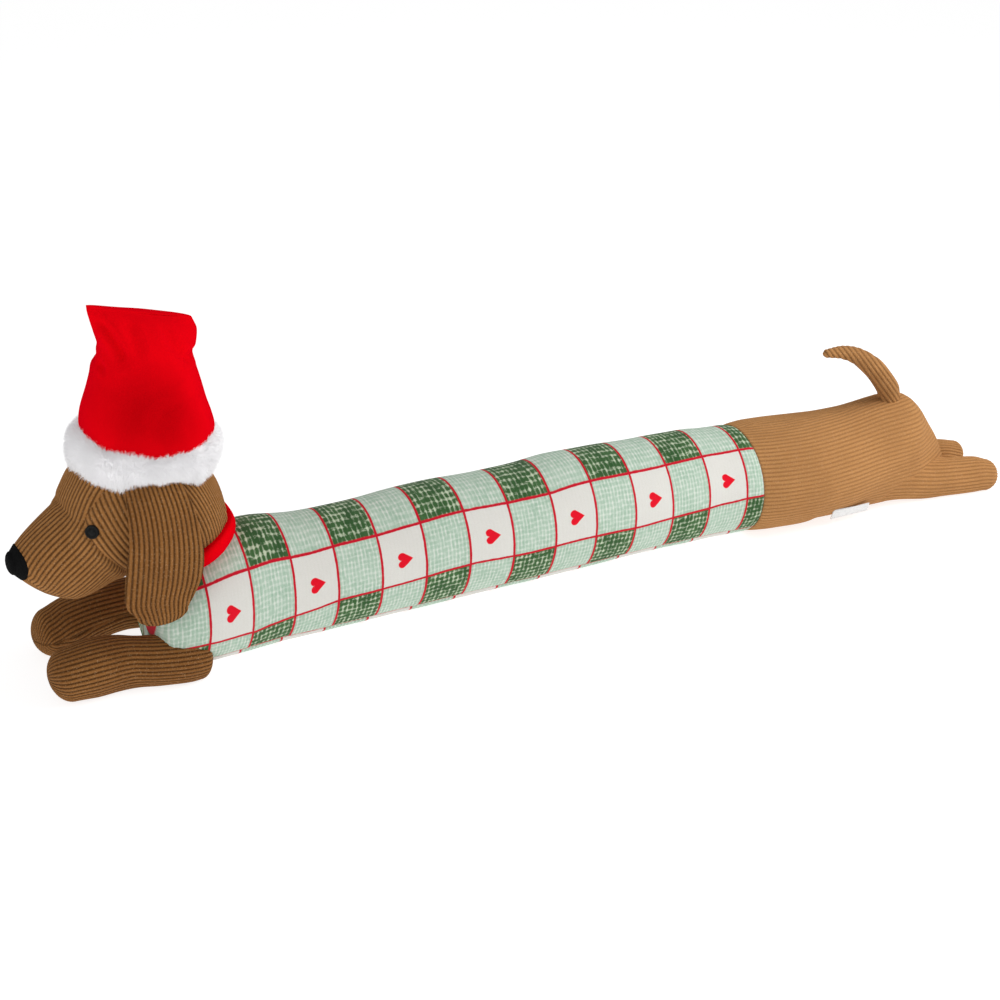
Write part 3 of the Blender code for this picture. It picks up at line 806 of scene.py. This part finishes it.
def makeLeg(name, leg, nodes, body=None, firstWale=0.0):
    around, (size, height) = legCloth["around"], legCloth["lump"]
    grid = legGrid(leg, legCloth["step"], around)
    normals = gridNormals(grid)
    if body is not None:
        grid = grid + normals * blendInto(grid, body, legCloth["blend"])[..., None]
    grid = grid + normals * (lumps(grid, size, leg["seed"]) * height)[..., None]
    # lengthwise wales from the outer side, drawn partly together where the leg is thin
    outer, inner = (around // 2, 0) if leg["side"] < 0 else (0, around // 2)
    travel = ringTravel(grid, outer)
    whole = np.abs(travel).max(axis=1, keepdims=True)
    wales = travel * np.sqrt(whole.max() / np.maximum(whole, 1.0)) / walePitch + firstWale
    apart = np.abs((np.arange(around) - inner + around / 2) % around - around / 2)
    seam = 1 - hump(apart / around * legCloth["girth"], legCloth["seamWide"])[None, :]
    piece = ribbedObject(name, grid, [wales], seam, 0, coats[leg["coat"]], legCloth["depth"])
    finishPiece(piece, nodes)


def makeRump():
    x, y, half, top = evenRows(rump["rows"], rump["step"]).T
    centres = np.stack([x, y, (top - sink) / 2], axis=1)
    frames = fixedFrames(len(x), (0.0, 0.0, 1.0), (0.0, 1.0, 0.0))
    around, caps, blend = rump["around"], (0.0, rump["rearCap"]), legCloth["blend"]
    grid = onFloor(loftGrid(centres, frames, half, (top + sink) / 2, around, caps))
    # the wales stay level, and run out at the sloping seams behind
    rise = np.interp(grid[..., 0], x, centres[:, 2]) - centres[0, 2]
    wales = np.array([ringTravel(grid, around // 2) - rise, ringTravel(grid, 0) + rise]) / walePitch
    swell = swelling(grid, rump["swell"])
    for name in ("hindLeft", "hindRight"):
        swell = swell + blendInto(grid, polygonsOf(legGrid(legs[name], 5.0, 40)), blend)
    for place, deep, wide in rump["dents"]:
        swell = swell - deep * hump(np.linalg.norm(grid - np.array(place), axis=2), wide)
    ending = hump(grid[..., 0] - rump["frontSeam"]["x"], rump["frontSeam"]["wide"])
    grid = pushed(grid, swell * (1 - ending) - rump["frontSeam"]["deep"] * ending)
    degrees = np.degrees(turnSteps(around))
    nearSide = (degrees >= 90) & (degrees < 270)
    facePanel = np.broadcast_to(np.where(nearSide, 0, 1)[None, :], (grid.shape[0] - 1, around)).copy()
    topSeam = rump["topSeam"]
    apart = np.abs(degrees - 90)[None, :] / 360 * topSeam["girth"]
    late = np.clip((grid[..., 0] - topSeam["from"]) / topSeam["fade"], 0.0, 1.0)
    seam = 1 - hump(apart, topSeam["wide"]) * late
    piece = ribbedObject("rump_cover", grid, wales, seam, 0, coats["rear"], rump["depth"], facePanel)
    finishPiece(piece, ["rump"])
    body = polygonsOf(loftGrid(centres, frames, half, (top + sink) / 2, 60, caps))
    first = (centres[0, 2] - rump["waleStart"]) / walePitch
    makeLeg("hind_leg_left_cover", legs["hindLeft"], [], body, first)
    makeLeg("hind_leg_right_cover", legs["hindRight"], [], body, -first)


makeRump()
makeLeg("front_leg_left_cover", legs["frontLeft"], ["front_leg_left"])
makeLeg("front_leg_right_cover", legs["frontRight"], ["front_leg_right"])
print("rump and legs made")


# tail, cut from two flat pieces, so that its wales run out at its edge seam

tail = {
    "rows": [  # x, y, z, radius
        (688, -16, 84, 10), (688.5, -16, 104, 10.3), (680.5, -16, 119, 10.3), (666, -16, 135.5, 9.5),
        (649, -16, 148.5, 7.8), (632, -16, 155.5, 6), (616, -16, 157.5, 4),
    ],
    "step": 1.6, "around": 110, "caps": (1.0, 5.0), "depth": 0.7,
    "grain": 128.0,  # direction of the wales in the side view, degrees up from the tail end
    "middle": -16.0, "lag": 0.25,  # the wales lag behind toward the edge seam
    "girth": 62.0, "seamWide": 1.1,
}


def makeTail():
    rows = evenRows(tail["rows"], tail["step"], 3)
    centres, radius = rows[:, :3], rows[:, 3]
    grid = loftGrid(centres, squareFrames(centres), radius, radius, tail["around"], tail["caps"])
    grain = math.radians(tail["grain"])
    level = grid[..., 0] * -math.sin(grain) + grid[..., 2] * math.cos(grain)
    wales = (level - tail["lag"] * np.abs(grid[..., 1] - tail["middle"])) / walePitch
    degrees = np.degrees(turnSteps(tail["around"]))
    apart = np.minimum(np.abs(degrees - 90), np.abs(degrees - 270)) / 360 * tail["girth"]
    seam = 1 - hump(apart, tail["seamWide"])[None, :]
    piece = ribbedObject("tail_cover", grid, [wales], seam, 2, coats["tail"], tail["depth"])
    finishPiece(piece, ["tail"])


makeTail()
print("tail made")


# the head: a front panel over muzzle and forehead, and a cheek panel on each side

head = {
    "rows": [  # x, bottom height, top height, half width, squareness
        (-139, 109, 126, 8.5, 2.0), (-134, 103.5, 131.5, 13.5, 2.0), (-127, 96.5, 138, 19, 2.0),
        (-116, 88, 146.5, 25, 2.0), (-104, 81.5, 154.5, 30, 2.0), (-96, 79, 160, 34, 2.0),
        (-89, 79, 172.5, 38, 2.0), (-80, 81, 187, 42, 2.0), (-66, 87, 200.5, 45.5, 2.05),
        (-52, 92, 208, 48, 2.1), (-38, 88, 212, 49, 2.1), (-20, 82, 212, 49, 2.1), (-4, 80, 208, 47, 2.1),
        (8, 80, 198, 44, 2.1), (19, 83, 180, 37.5, 2.1), (28, 92, 160, 28, 2.1),
    ],
    "step": 0.85, "around": 430, "caps": (3.5, 6.0), "depth": 0.85,
    "seam": [  # height and x of the cheek seam, from chin to crown
        (60, -36.0), (86, -42.0), (106.7, -58.6), (123.7, -72.8), (135.0, -82.0), (144.7, -87.5),
        (151.0, -88.5), (157.5, -87.0), (163.0, -83.5), (170.6, -77.7), (179.0, -69.5), (200.0, -64.0),
        (260.0, -62.0),
    ],
    "seamWide": 1.3, "backSeamWide": 1.2,
    "beside": {"away": 6.0, "wide": 4.0, "high": 1.0},  # the cloth puffs up beside the cheek seam
    "crease": {"wide": 2.6, "deep": 1.3},  # across the bridge, below the forehead
    "swell": [(34.0, 12, 0.6)],
    "stop": (-97.0, 159.0),  # where the bridge of the muzzle meets the forehead
    "bridgeAngle": 35.0,
    "browAngles": (62.0, 48.0),  # near the stop, and by the hat
    "stopBlend": 6.0, "browBlend": 45.0,  # the length over which each direction turns into the next
    "cheekCentre": (29.5, 191.6),  # the cheek wales are wide arcs around this point
    "neckFrom": -28.0, "neckAngle": -66.0,
    "firstWale": 1.9,
}


def headSection(x, rows):
    # bottom, top, half width and squareness of the head at x
    return [np.interp(x, rows[:, 0], rows[:, k]) for k in range(1, 5)]


def headHalfWidth(x, z):
    rows = evenRows(head["rows"], 1.0)
    front, rear, cap = rows[0, 0], rows[-1, 0], head["caps"][1]
    low, top, half, square = headSection(x, rows)
    rise = np.abs(z - (top + low) / 2) / ((top - low) / 2)
    half = half * np.sqrt(np.clip(1 - (np.maximum(x - rear, 0.0) / cap) ** 2, 0.0, 1.0))
    inside = (x > front - 3) & (x < rear + cap) & (rise < 1)
    return np.where(inside, half * np.maximum(0.0, 1 - rise**square) ** (1 / square), 0.0)


def travelFromMidline(points, angle):
    # distance over the surface from the middle line, in planes square to the given direction
    lean = math.radians(angle)
    ahead, down = np.array([math.cos(lean), math.sin(lean)]), np.array([math.sin(lean), -math.cos(lean)])
    stopX, stopZ = head["stop"]
    t, d = np.arange(-70.0, 130.0, 1.5), np.arange(-60.0, 160.0, 0.25)  # a fine table over the whole head
    spotX = stopX + t[:, None] * ahead[0] + d[None, :] * down[0]
    spotZ = stopZ + t[:, None] * ahead[1] + d[None, :] * down[1]
    out = headHalfWidth(spotX, spotZ)
    steps = np.hypot(np.diff(out, axis=1), d[1] - d[0]) * ((out[:, 1:] > 0) | (out[:, :-1] > 0))
    table = np.concatenate([np.zeros((len(t), 1)), np.cumsum(steps, axis=1)], axis=1)
    offX, offZ = points[..., 0] - stopX, points[..., 2] - stopZ
    rowAt = np.clip((offX * ahead[0] + offZ * ahead[1] - t[0]) / (t[1] - t[0]), 0, len(t) - 1.001)
    colAt = np.clip((offX * down[0] + offZ * down[1] - d[0]) / (d[1] - d[0]), 0, len(d) - 1.001)
    r, c = rowAt.astype(int), colAt.astype(int)
    fr, fc = rowAt - r, colAt - c
    upper = table[r, c] * (1 - fc) + table[r, c + 1] * fc
    lower = table[r + 1, c] * (1 - fc) + table[r + 1, c + 1] * fc
    travel = upper * (1 - fr) + lower * fr
    off = np.abs(points[..., 1])
    share = np.clip((off - 5.0) / 8.0, 0.0, 1.0)  # close to the middle line the surface is nearly flat
    return off * (1 - share) + travel * share


def headWales(grid, beyond):
    # beyond is how far past the stop a point lies, toward the crown
    muzzle = travelFromMidline(grid, head["bridgeAngle"])
    brow, crest = [travelFromMidline(grid, angle) for angle in head["browAngles"]]
    upper = np.clip(beyond / head["browBlend"], 0.0, 1.0)
    share = np.clip(beyond / head["stopBlend"] + 0.5, 0.0, 1.0)
    front = muzzle * (1 - share) + (brow * (1 - upper) + crest * upper) * share
    centreX, centreZ = head["cheekCentre"]
    cheek = np.hypot(grid[..., 0] - centreX, grid[..., 2] - centreZ)
    lean = math.radians(head["neckAngle"])
    neck = -(grid[..., 0] - np.abs(grid[..., 1])) * math.sin(lean) + grid[..., 2] * math.cos(lean)
    return np.array([front + head["firstWale"], cheek, neck, cheek, neck]) / walePitch


def makeHead():
    x, low, top, half, square = evenRows(head["rows"], head["step"]).T
    centres = np.stack([x, np.zeros(len(x)), (top + low) / 2], axis=1)
    frames = fixedFrames(len(x), (0.0, 0.0, 1.0), (0.0, 1.0, 0.0))
    grid = loftGrid(centres, frames, half, (top - low) / 2, head["around"], head["caps"], square, 8)
    bisect = math.radians((head["bridgeAngle"] + head["browAngles"][0]) / 2)
    overX, overZ = grid[..., 0] - head["stop"][0], grid[..., 2] - head["stop"][1]
    beyond = overX * math.cos(bisect) + overZ * math.sin(bisect)
    wales = headWales(grid, beyond)
    # which panel each face belongs to: front, then cheek and neck of each side
    heights, seamX = np.array(head["seam"]).T
    lie = np.cos(np.arctan(np.interp(grid[..., 2], heights, np.gradient(seamX, heights))))
    beside = (grid[..., 0] - np.interp(grid[..., 2], heights, seamX)) * lie
    middle = (beside[:-1] + np.roll(beside, -1, axis=1)[1:]) / 2
    faceX = (grid[:-1, :, 0] + grid[1:, :, 0]) / 2
    ownSide = np.where(faceX < head["neckFrom"], 1, 2) + np.where(grid[:-1, :, 1] < 0, 0, 2)
    facePanel = np.where(middle < 0, 0, ownSide)
    backSeam = np.where(beside > 0, hump(grid[..., 1], head["backSeamWide"]), 0.0)
    seam = np.minimum(1 - hump(beside, head["seamWide"]), 1 - backSeam)
    crease, puff = head["crease"], head["beside"]
    groove = hump(beyond, crease["wide"]) * np.clip(-beside / 8.0, 0.0, 1.0)
    swell = swelling(grid, head["swell"]) - groove * crease["deep"]
    swell = swell + puff["high"] * hump(np.abs(beside) - puff["away"], puff["wide"])
    grid = pushed(grid, swell)
    panels = {"head_front": facePanel == 0, "head_left": (facePanel == 1) | (facePanel == 2),
              "head_right": facePanel >= 3}
    for node, keep in panels.items():
        piece = ribbedObject(node + "_cover", grid, wales, seam, 2, coats["front"], head["depth"],
                             facePanel, keep)
        finishPiece(piece, [node])


makeHead()
print("head made")


# ears: two layers sewn flat, with a rolled edge

ear = {
    "rows": [  # height, x at front edge, x at rear edge, y of the middle, half thickness
        (190, -57, -18, -45, 2.6), (178, -58, -12, -48, 2.9), (160, -59, -6, -53, 3.1),
        (140, -61, -3, -56, 3.2), (120, -65, -1, -56.5, 3.2), (100, -68, -4, -57, 3.2),
        (86, -67, -11, -57, 3.1), (76, -60, -17, -57, 3.0),
    ],
    "step": 1.8, "around": 190, "caps": (3.0, 11.0), "square": 2.6, "depth": 0.8, "pinch": 0.3,
    "curl": (40.0, 31, 0.9),
    "stitchLine": {"in": 2.6, "wide": 1.0, "deep": 0.4},
    "rim": {"wide": 0.9, "flat": 0.6},
}


def makeEar(name, node, side):
    z, frontX, rearX, y, thick = evenRows(ear["rows"], ear["step"]).T
    centres = np.stack([(frontX + rearX) / 2, -side * y, z], axis=1)
    frames = fixedFrames(len(z), (0.0, 1.0, 0.0), (1.0, 0.0, 0.0))
    half = (rearX - frontX) / 2
    grid = loftGrid(centres, frames, half, thick, ear["around"], ear["caps"], ear["square"], 12)
    across = grid[..., 0] - grid[..., 0].mean(axis=1, keepdims=True)
    ringHalf = np.abs(across).max(axis=1, keepdims=True)
    wales = across * np.sqrt(half.mean() / np.maximum(ringHalf, half.min() * 0.8)) / walePitch + 0.5
    inward = ringHalf - np.abs(across)
    stitch, rim = ear["stitchLine"], ear["rim"]
    curl = swelling(grid * np.array([1.0, 0.0, 1.0]), [ear["curl"]])
    grid = pushed(grid, -stitch["deep"] * hump(inward - stitch["in"], stitch["wide"]))
    grid[..., 1] += curl * side
    seam = 1 - hump(inward, rim["wide"]) * rim["flat"]
    # the ears take the darker shaded corduroy: painted shade
    piece = ribbedObject(name, grid, [wales], seam, 2, coats["shaded"], ear["depth"], pinch=ear["pinch"])
    finishPiece(piece, [node])


makeEar("ear_left_cover", "ear_left", -1)
makeEar("ear_right_cover", "ear_right", 1)
print("ears made")


# nose patch and eyes

nose = {
    "centre": (-144.5, 0.0, 117.0), "radii": (19.0, 24.0, 17.0),  # the patch covers what lies in this oval
    "proud": 1.1, "tip": 3.5, "reach": (-139.0, -115.0), "around": 96, "steps": 22, "tucked": (0.3, -1.2),
    "swell": [(9.0, 77, 0.08)],
}
eye = {
    "place": (-83.5, 149.0), "radius": 5.6, "depth": 3.4, "around": 48,
    "profile": [  # share of the radius, height out of 3
        (0.4, -2.0), (1.0, -2.0), (1.0, 0.9), (0.985, 1.5), (0.93, 2.0), (0.84, 2.25), (0.74, 2.15),
        (0.66, 1.75), (0.60, 1.6), (0.52, 1.85), (0.38, 2.3), (0.22, 2.6), (0.08, 2.7), (0.02, 2.72),
    ],
}


def headPatchPoint(x, angle, grow=0.0):
    low, top, half, square = headSection(x, evenRows(head["rows"], 0.5))
    across = ovalPart(np.cos(angle), square) * (half + grow)
    upward = ovalPart(np.sin(angle), square) * ((top - low) / 2 + grow)
    return np.stack([x + 0 * angle, across, (top + low) / 2 + upward], axis=-1)


def makeNose():
    # for each direction around the tip, the patch runs back to where the head leaves the nose's oval
    angles, (front, back), proud = turnSteps(nose["around"]), nose["reach"], nose["proud"]
    edges = []
    for angle in angles:
        xs = np.linspace(front, back, 120)
        gap = (headPatchPoint(xs, np.full(120, angle)) - np.array(nose["centre"])) / np.array(nose["radii"])
        inside = (gap**2).sum(axis=1) < 1
        edges.append(xs[inside][-1] if inside.any() else xs[0])
    edges = np.array(edges)
    tip = headPatchPoint(np.full(len(angles), front), angles, proud)
    middle = tip.mean(axis=0)
    rings = []
    for k in range(1, 6):  # rounded tip
        lean = (1 - k / 6) * math.pi / 2 * 0.98
        out = np.array([-(nose["tip"] + proud) * math.sin(lean), 0, 0])
        rings.append(middle + (tip - middle) * math.cos(lean) + out)
    for share in np.arange(nose["steps"] + 1) / nose["steps"]:
        grow = proud * min(1.0, (1 - share) * 5 + 0.25)
        rings.append(headPatchPoint(front + (edges - front) * share, angles, grow))
    rings.append(headPatchPoint(edges + nose["tucked"][0], angles, nose["tucked"][1]))
    grid = np.array(rings)
    grid = pushed(grid, swelling(grid, nose["swell"]))
    piece = gridObject("nose_patch", grid, plainMaps(grid, 4, (1, 2)), coats["felt"])
    finishPiece(piece, ["nose"])


def makeEye(name, node, side):
    x, z = eye["place"]
    half, ahead, behind, above, below = [float(headHalfWidth(np.array(x + a), np.array(z + b)))
                                         for a, b in ((0, 0), (2, 0), (-2, 0), (0, 2), (0, -2))]
    out = np.array([-(ahead - behind) / 4, side, -(above - below) / 4])
    out /= np.linalg.norm(out)
    across = unit(np.cross(out, [0.0, 0.0, 1.0]))
    upward = np.cross(across, out)
    turns = turnSteps(eye["around"])
    circle = np.outer(np.cos(turns), across) + np.outer(np.sin(turns), upward)
    place = np.array([x, side * half, z])
    grid = np.array([place + out * rise * eye["depth"] / 3.0 + circle * eye["radius"] * share
                     for share, rise in eye["profile"]])
    piece = gridObject(name, grid, plainMaps(grid, 1), coats["plastic"])
    finishPiece(piece, [node])


makeNose()
makeEye("eye_left_button", "eye_left", -1)
makeEye("eye_right_button", "eye_right", 1)
print("nose and eyes made")


# the collar, a soft band around the neck

collar = {
    "width": 17.0, "thick": 7.36, "tilt": 25.0, "centre": (6.0, 106.5), "around": 240,
    "profile": [  # place across the width, share of the thickness
        (-0.5, -1.0), (-0.5, 0.35), (-0.44, 0.72), (-0.28, 0.95), (0.0, 1.06), (0.28, 0.95), (0.44, 0.72),
        (0.5, 0.35), (0.5, -1.0),
    ],
    "swell": [(20.0, 41, 0.5)],
}


def neckRing(base, ahead):
    # the neck's outline in a tilted plane, found on the head's surface and rounded off
    travel = np.linspace(-150.0, 60.0, 1400)
    spotX, spotZ = base[0] + travel * ahead[0], base[1] + travel * ahead[1]
    out = headHalfWidth(spotX, spotZ)
    inside = np.where(out > 0)[0]
    line = np.stack([spotX[inside], -out[inside], spotZ[inside]], axis=1)
    line = np.vstack([line, line[::-1] * np.array([1.0, -1.0, 1.0])])
    steps = np.r_[0.0, np.cumsum(np.linalg.norm(np.diff(line, axis=0), axis=1))]
    even = np.linspace(0.0, steps[-1], collar["around"], endpoint=False)
    ring = np.stack([np.interp(even, steps, line[:, k]) for k in range(3)], axis=1)
    return sum(np.roll(ring, k, axis=0) for k in range(-7, 8)) / 15


def makeCollar():
    lean = math.radians(collar["tilt"])
    ahead, upward = np.array([math.cos(lean), math.sin(lean)]), np.array([-math.sin(lean), math.cos(lean)])
    rings = []
    for place, rise in smoothRows(collar["profile"], 3):
        ring = neckRing(np.array(collar["centre"]) + upward * place * collar["width"], ahead)
        flow = np.roll(ring, -1, axis=0) - np.roll(ring, 1, axis=0)
        outward = unit(np.cross(flow, np.array([upward[0], 0.0, upward[1]])))
        if ((ring - ring.mean(axis=0)) * outward).sum() < 0:
            outward = -outward
        rings.append(ring + outward * rise * collar["thick"])
    grid = np.array(rings)
    grid = pushed(grid, swelling(grid, collar["swell"]))
    keep = np.ones((len(grid) - 1, collar["around"]), bool)
    piece = gridObject("collar_band", grid, plainMaps(grid, 10), coats["plush"], keep)
    finishPiece(piece, ["collar"])


makeCollar()
print("collar made")


# the hat: a soft crown folded at the top, and a fur trim

crown = {
    "rows": [  # x, y, height of centre, half width, half depth, tilt, squareness
        (-24, 0, 196, 48, 48, 2, 2.0), (-22, 0, 210, 52, 52, 3, 2.0), (-22, 0, 222, 51, 51, 3, 2.0),
        (-21.5, 0, 236, 47.5, 47.5, 4, 2.0), (-20.5, 0, 254, 42, 42.5, 5, 2.0),
        (-19.5, 0, 268, 37.5, 38.5, 7, 2.0), (-18.5, 0, 276, 34, 37.5, 9, 1.95),
        (-18.5, 0, 286, 29, 41, 12, 1.85), (-19, 0, 295, 22, 43.0, 14, 1.75),
        (-20.5, 0, 301.5, 14, 43.0, 15.5, 1.7), (-21.5, 0, 306, 5, 42.5, 16.5, 1.75),
    ],
    "step": 1.3, "around": 220, "caps": (1.0, 1.5),
    "swell": [(42.0, 3, 1.1), (16.0, 8, 0.25)],
    "creases": [  # points along each fold, how deep, how wide
        {"line": [(-59.2, -7.9, 306.7), (-55.4, -12.4, 304.4), (-51.7, -16.3, 298.6), (-48.1, -20.2, 291.2),
                  (-45.1, -23.4, 282.9), (-44.5, -25.1, 277.7)], "deep": 3.2, "wide": 4.2},
        {"line": [(-57.9, -0.9, 271.8), (-57.5, -7.9, 270.6), (-56.8, -12.4, 268.5)],
         "deep": 1.2, "wide": 3.0},
        {"line": [(17.0, -6.0, 268.5), (13.5, -16.9, 270.0), (8.4, -23.4, 271.2), (3.1, -27.8, 271.6)],
         "deep": 1.6, "wide": 3.6},
        {"line": [(17.0, 6.0, 268.5), (10.0, 20.0, 271.0), (0.0, 29.0, 272.0)], "deep": 2.0, "wide": 4.0},
        {"line": [(-57.0, 8.0, 271.0), (-50.0, 19.0, 270.0), (-40.0, 28.0, 273.0)],
         "deep": 2.0, "wide": 4.0},
        {"line": [(-34.7, -14.7, 307.9), (-35.1, -24.7, 295.3), (-33.6, -32.1, 280.0)],
         "deep": 1.6, "wide": 5.0},
        {"line": [(-8.0, -18.0, 303.0), (-3.4, -27.1, 284.6), (4.0, -27.0, 273.0)],
         "deep": 1.5, "wide": 5.0},
    ],
    "groove": 1.5, "ridge": 0.35,  # how much of its depth a fold sinks, and rises beside it
}


def nearLine(points, line):
    # distance to a broken line, and how far along it the nearest place is
    line = np.array(line, float)
    best = np.full(points.shape[:-1], 1e9)
    share = np.zeros(points.shape[:-1])
    for i in range(len(line) - 1):
        way = line[i + 1] - line[i]
        t = np.clip(((points - line[i]) @ way) / (way @ way), 0.0, 1.0)
        gap = np.linalg.norm(points - (line[i] + t[..., None] * way), axis=-1)
        closer = gap < best
        best = np.where(closer, gap, best)
        share = np.where(closer, (i + t) / (len(line) - 1), share)
    return best, share


def makeCrown():
    rows = evenRows(crown["rows"], crown["step"], 3)
    tilt = np.radians(rows[:, 5])
    ups = np.stack([-np.cos(tilt), 0 * tilt, np.sin(tilt)], axis=1)
    frames = (ups, np.tile((0.0, 1.0, 0.0), (len(rows), 1)))
    grid = loftGrid(rows[:, :3], frames, rows[:, 3], rows[:, 4], crown["around"], crown["caps"], rows[:, 6])
    swell = swelling(grid, crown["swell"])
    for fold in crown["creases"]:
        gap, share = nearLine(grid, fold["line"])
        fade = np.clip(np.sin(np.pi * np.clip(share * 0.9 + 0.05, 0, 1)) * 1.6, 0.25, 1.0)
        beside = hump(gap - fold["wide"] * 2.0, fold["wide"])
        sunk = crown["groove"] * hump(gap, fold["wide"]) - crown["ridge"] * beside
        swell = swell - fold["deep"] * fade * sunk
    grid = pushed(grid, swell)
    piece = gridObject("hat_crown_cover", grid, plainMaps(grid, 10), coats["plush"])
    finishPiece(piece, ["hat_crown"])


trim = {
    "centre": (-25.3, 0.0, 196.5), "tilt": 3.0, "radius": 47.4, "tube": (10.5, 14.5), "mesh": (160, 40),
    "drops": [  # turn around the head from the tail side in degrees, drop of the lower edge
        (0, 2.0), (50, 4.5), (90, -7.0), (135, 4.0), (180, 2.0), (225, 4.0), (270, -7.0), (310, 4.5),
        (360, 2.0),
    ],
    "rises": [  # the same turn, rise of the upper edge
        (0, 0.0), (200, 0.0), (235, -4.0), (270, -6.5), (310, -4.0), (345, 0.0), (360, 0.0),
    ],
    "ripples": [(0.9, 11.0, 0.0), (0.7, 19.0, 1.0)],  # height, how many around, start
    "swell": [(16.0, 51, 1.3)],
    "locks": 50000, "length": (3.4, 7.0), "width": 0.40, "sunk": 0.6, "furred": 2.3, "sag": -0.28,
    "tuft": 0.42, "stray": 0.22, "seed": 17,
}


def trimPoint(turn, roll):
    tilt = math.radians(trim["tilt"])
    forward = np.array([math.cos(tilt), 0.0, -math.sin(tilt)])
    upward = np.array([math.sin(tilt), 0.0, math.cos(tilt)])
    degrees = np.degrees(turn) % 360.0
    drop, rise = lookUp(degrees, trim["drops"]), lookUp(degrees, trim["rises"])
    for height, count, start in trim["ripples"]:
        drop = drop + height * np.sin(turn * count + start)
    out = np.cos(turn)[..., None] * forward + np.sin(turn)[..., None] * np.array([0.0, 1.0, 0.0])
    wide = trim["radius"] + trim["tube"][0] * np.cos(roll)
    high = trim["tube"][1] * np.sin(roll) + drop * np.minimum(0.0, np.sin(roll))
    high = high + rise * np.maximum(0.0, np.sin(roll))
    spots = np.array(trim["centre"]) + out * wide[..., None] + high[..., None] * upward
    return spots, unit(out * np.cos(roll)[..., None] + np.sin(roll)[..., None] * upward)


def makeTrim():
    turns, rolls = np.meshgrid(*[turnSteps(count) for count in trim["mesh"]], indexing="ij")
    spots, facing = trimPoint(turns, rolls)
    spots = spots + facing * swelling(spots, trim["swell"])[..., None]
    ring = np.concatenate([spots, spots[:1]])
    keep = np.ones(trim["mesh"], bool)
    piece = gridObject("hat_trim_roll", ring, plainMaps(ring, 10), coats["fur"], keep)
    shape = bmesh.new()
    shape.from_mesh(piece.data)
    bmesh.ops.remove_doubles(shape, verts=shape.verts, dist=1e-6)
    bmesh.ops.recalc_face_normals(shape, faces=shape.faces)
    shape.to_mesh(piece.data)
    shape.free()
    finishPiece(piece, ["hat_trim"])


def makeTrimPile():
    # fine locks that stand out and lean together in tufts, each a sliver of three faces
    draw, count = np.random.default_rng(trim["seed"]), trim["locks"]
    turn = draw.uniform(0, fullTurn, count)
    roll = draw.uniform(-trim["furred"], trim["furred"], count)
    root, out = trimPoint(turn, roll)
    root = root + out * (swelling(root, trim["swell"]) - trim["sunk"])[..., None]
    lean = np.stack([lumps(root, 7.0, seed) for seed in (61, 62, 63)], axis=1) * trim["tuft"]
    stray = draw.normal(size=(count, 3)) * trim["stray"]
    way = unit(out + lean + stray + np.array([0.0, 0.0, trim["sag"]]))
    tip = root + way * draw.uniform(*trim["length"], count)[:, None]
    side = unit(np.cross(way, draw.normal(size=(count, 3)))) * trim["width"]
    other = unit(np.cross(way, side)) * trim["width"]
    corners = [root + side, root - side * 0.5 + other * 0.87, root - side * 0.5 - other * 0.87, tip]
    first = np.arange(count)[:, None] * 4
    faces = np.concatenate([first + np.array([a, b, 3]) for a, b in ((0, 1), (1, 2), (2, 0))])
    mesh = bpy.data.meshes.new("hat_trim_pile")
    mesh.from_pydata(inScene(np.stack(corners, axis=1)).tolist(), [], faces.tolist())
    pile = linked("hat_trim_pile", mesh, coats["fur"])
    soft = unit(out + lean * 0.9 + stray * 1.1)  # each lock is shaded as part of the roll it stands on
    mesh.normals_split_custom_set_from_vertices(np.repeat(soft, 4, axis=0).tolist())
    finishPiece(pile)


makeCrown()
makeTrim()
makeTrimPile()
print("hat made")


# the folded tape in the belly seam

label = {
    "size": (41.0, 1.1, 12.0), "narrowed": 0.25, "place": (606.0, -51.0, 7.5), "lean": 20.0,
    "steps": 30, "bow": 0.6,
    "outline": [  # share of the way down the tape, place across its thickness
        (0, 0.5), (0.25, 0.5), (0.5, 0.5), (0.75, 0.5), (1, 0.3), (1, -0.3), (0.75, -0.5), (0.5, -0.5),
        (0.25, -0.5), (0, -0.5),
    ],
}


def makeLabel():
    length, thick, tall = label["size"]
    lean = math.radians(label["lean"])
    across = np.array([0.0, math.cos(lean), math.sin(lean)])
    upward = np.array([0.0, -math.sin(lean), math.cos(lean)])
    rows = []
    for step in np.linspace(0.0, 1.0, label["steps"]):
        bow = math.sin(step * math.pi * 1.3) * label["bow"]
        start = np.array(label["place"]) + np.array([step * length, 0, 0])
        height = tall * (1 - label["narrowed"] * step)
        rows.append([start + upward * along * height + across * (part * thick - bow * along)
                     for along, part in label["outline"]])
    grid = onFloor(np.array(rows))
    piece = gridObject("seam_label_tape", grid, plainMaps(grid, 1), coats["tape"])
    finishPiece(piece, ["seam_label"])


makeLabel()
print("label made")
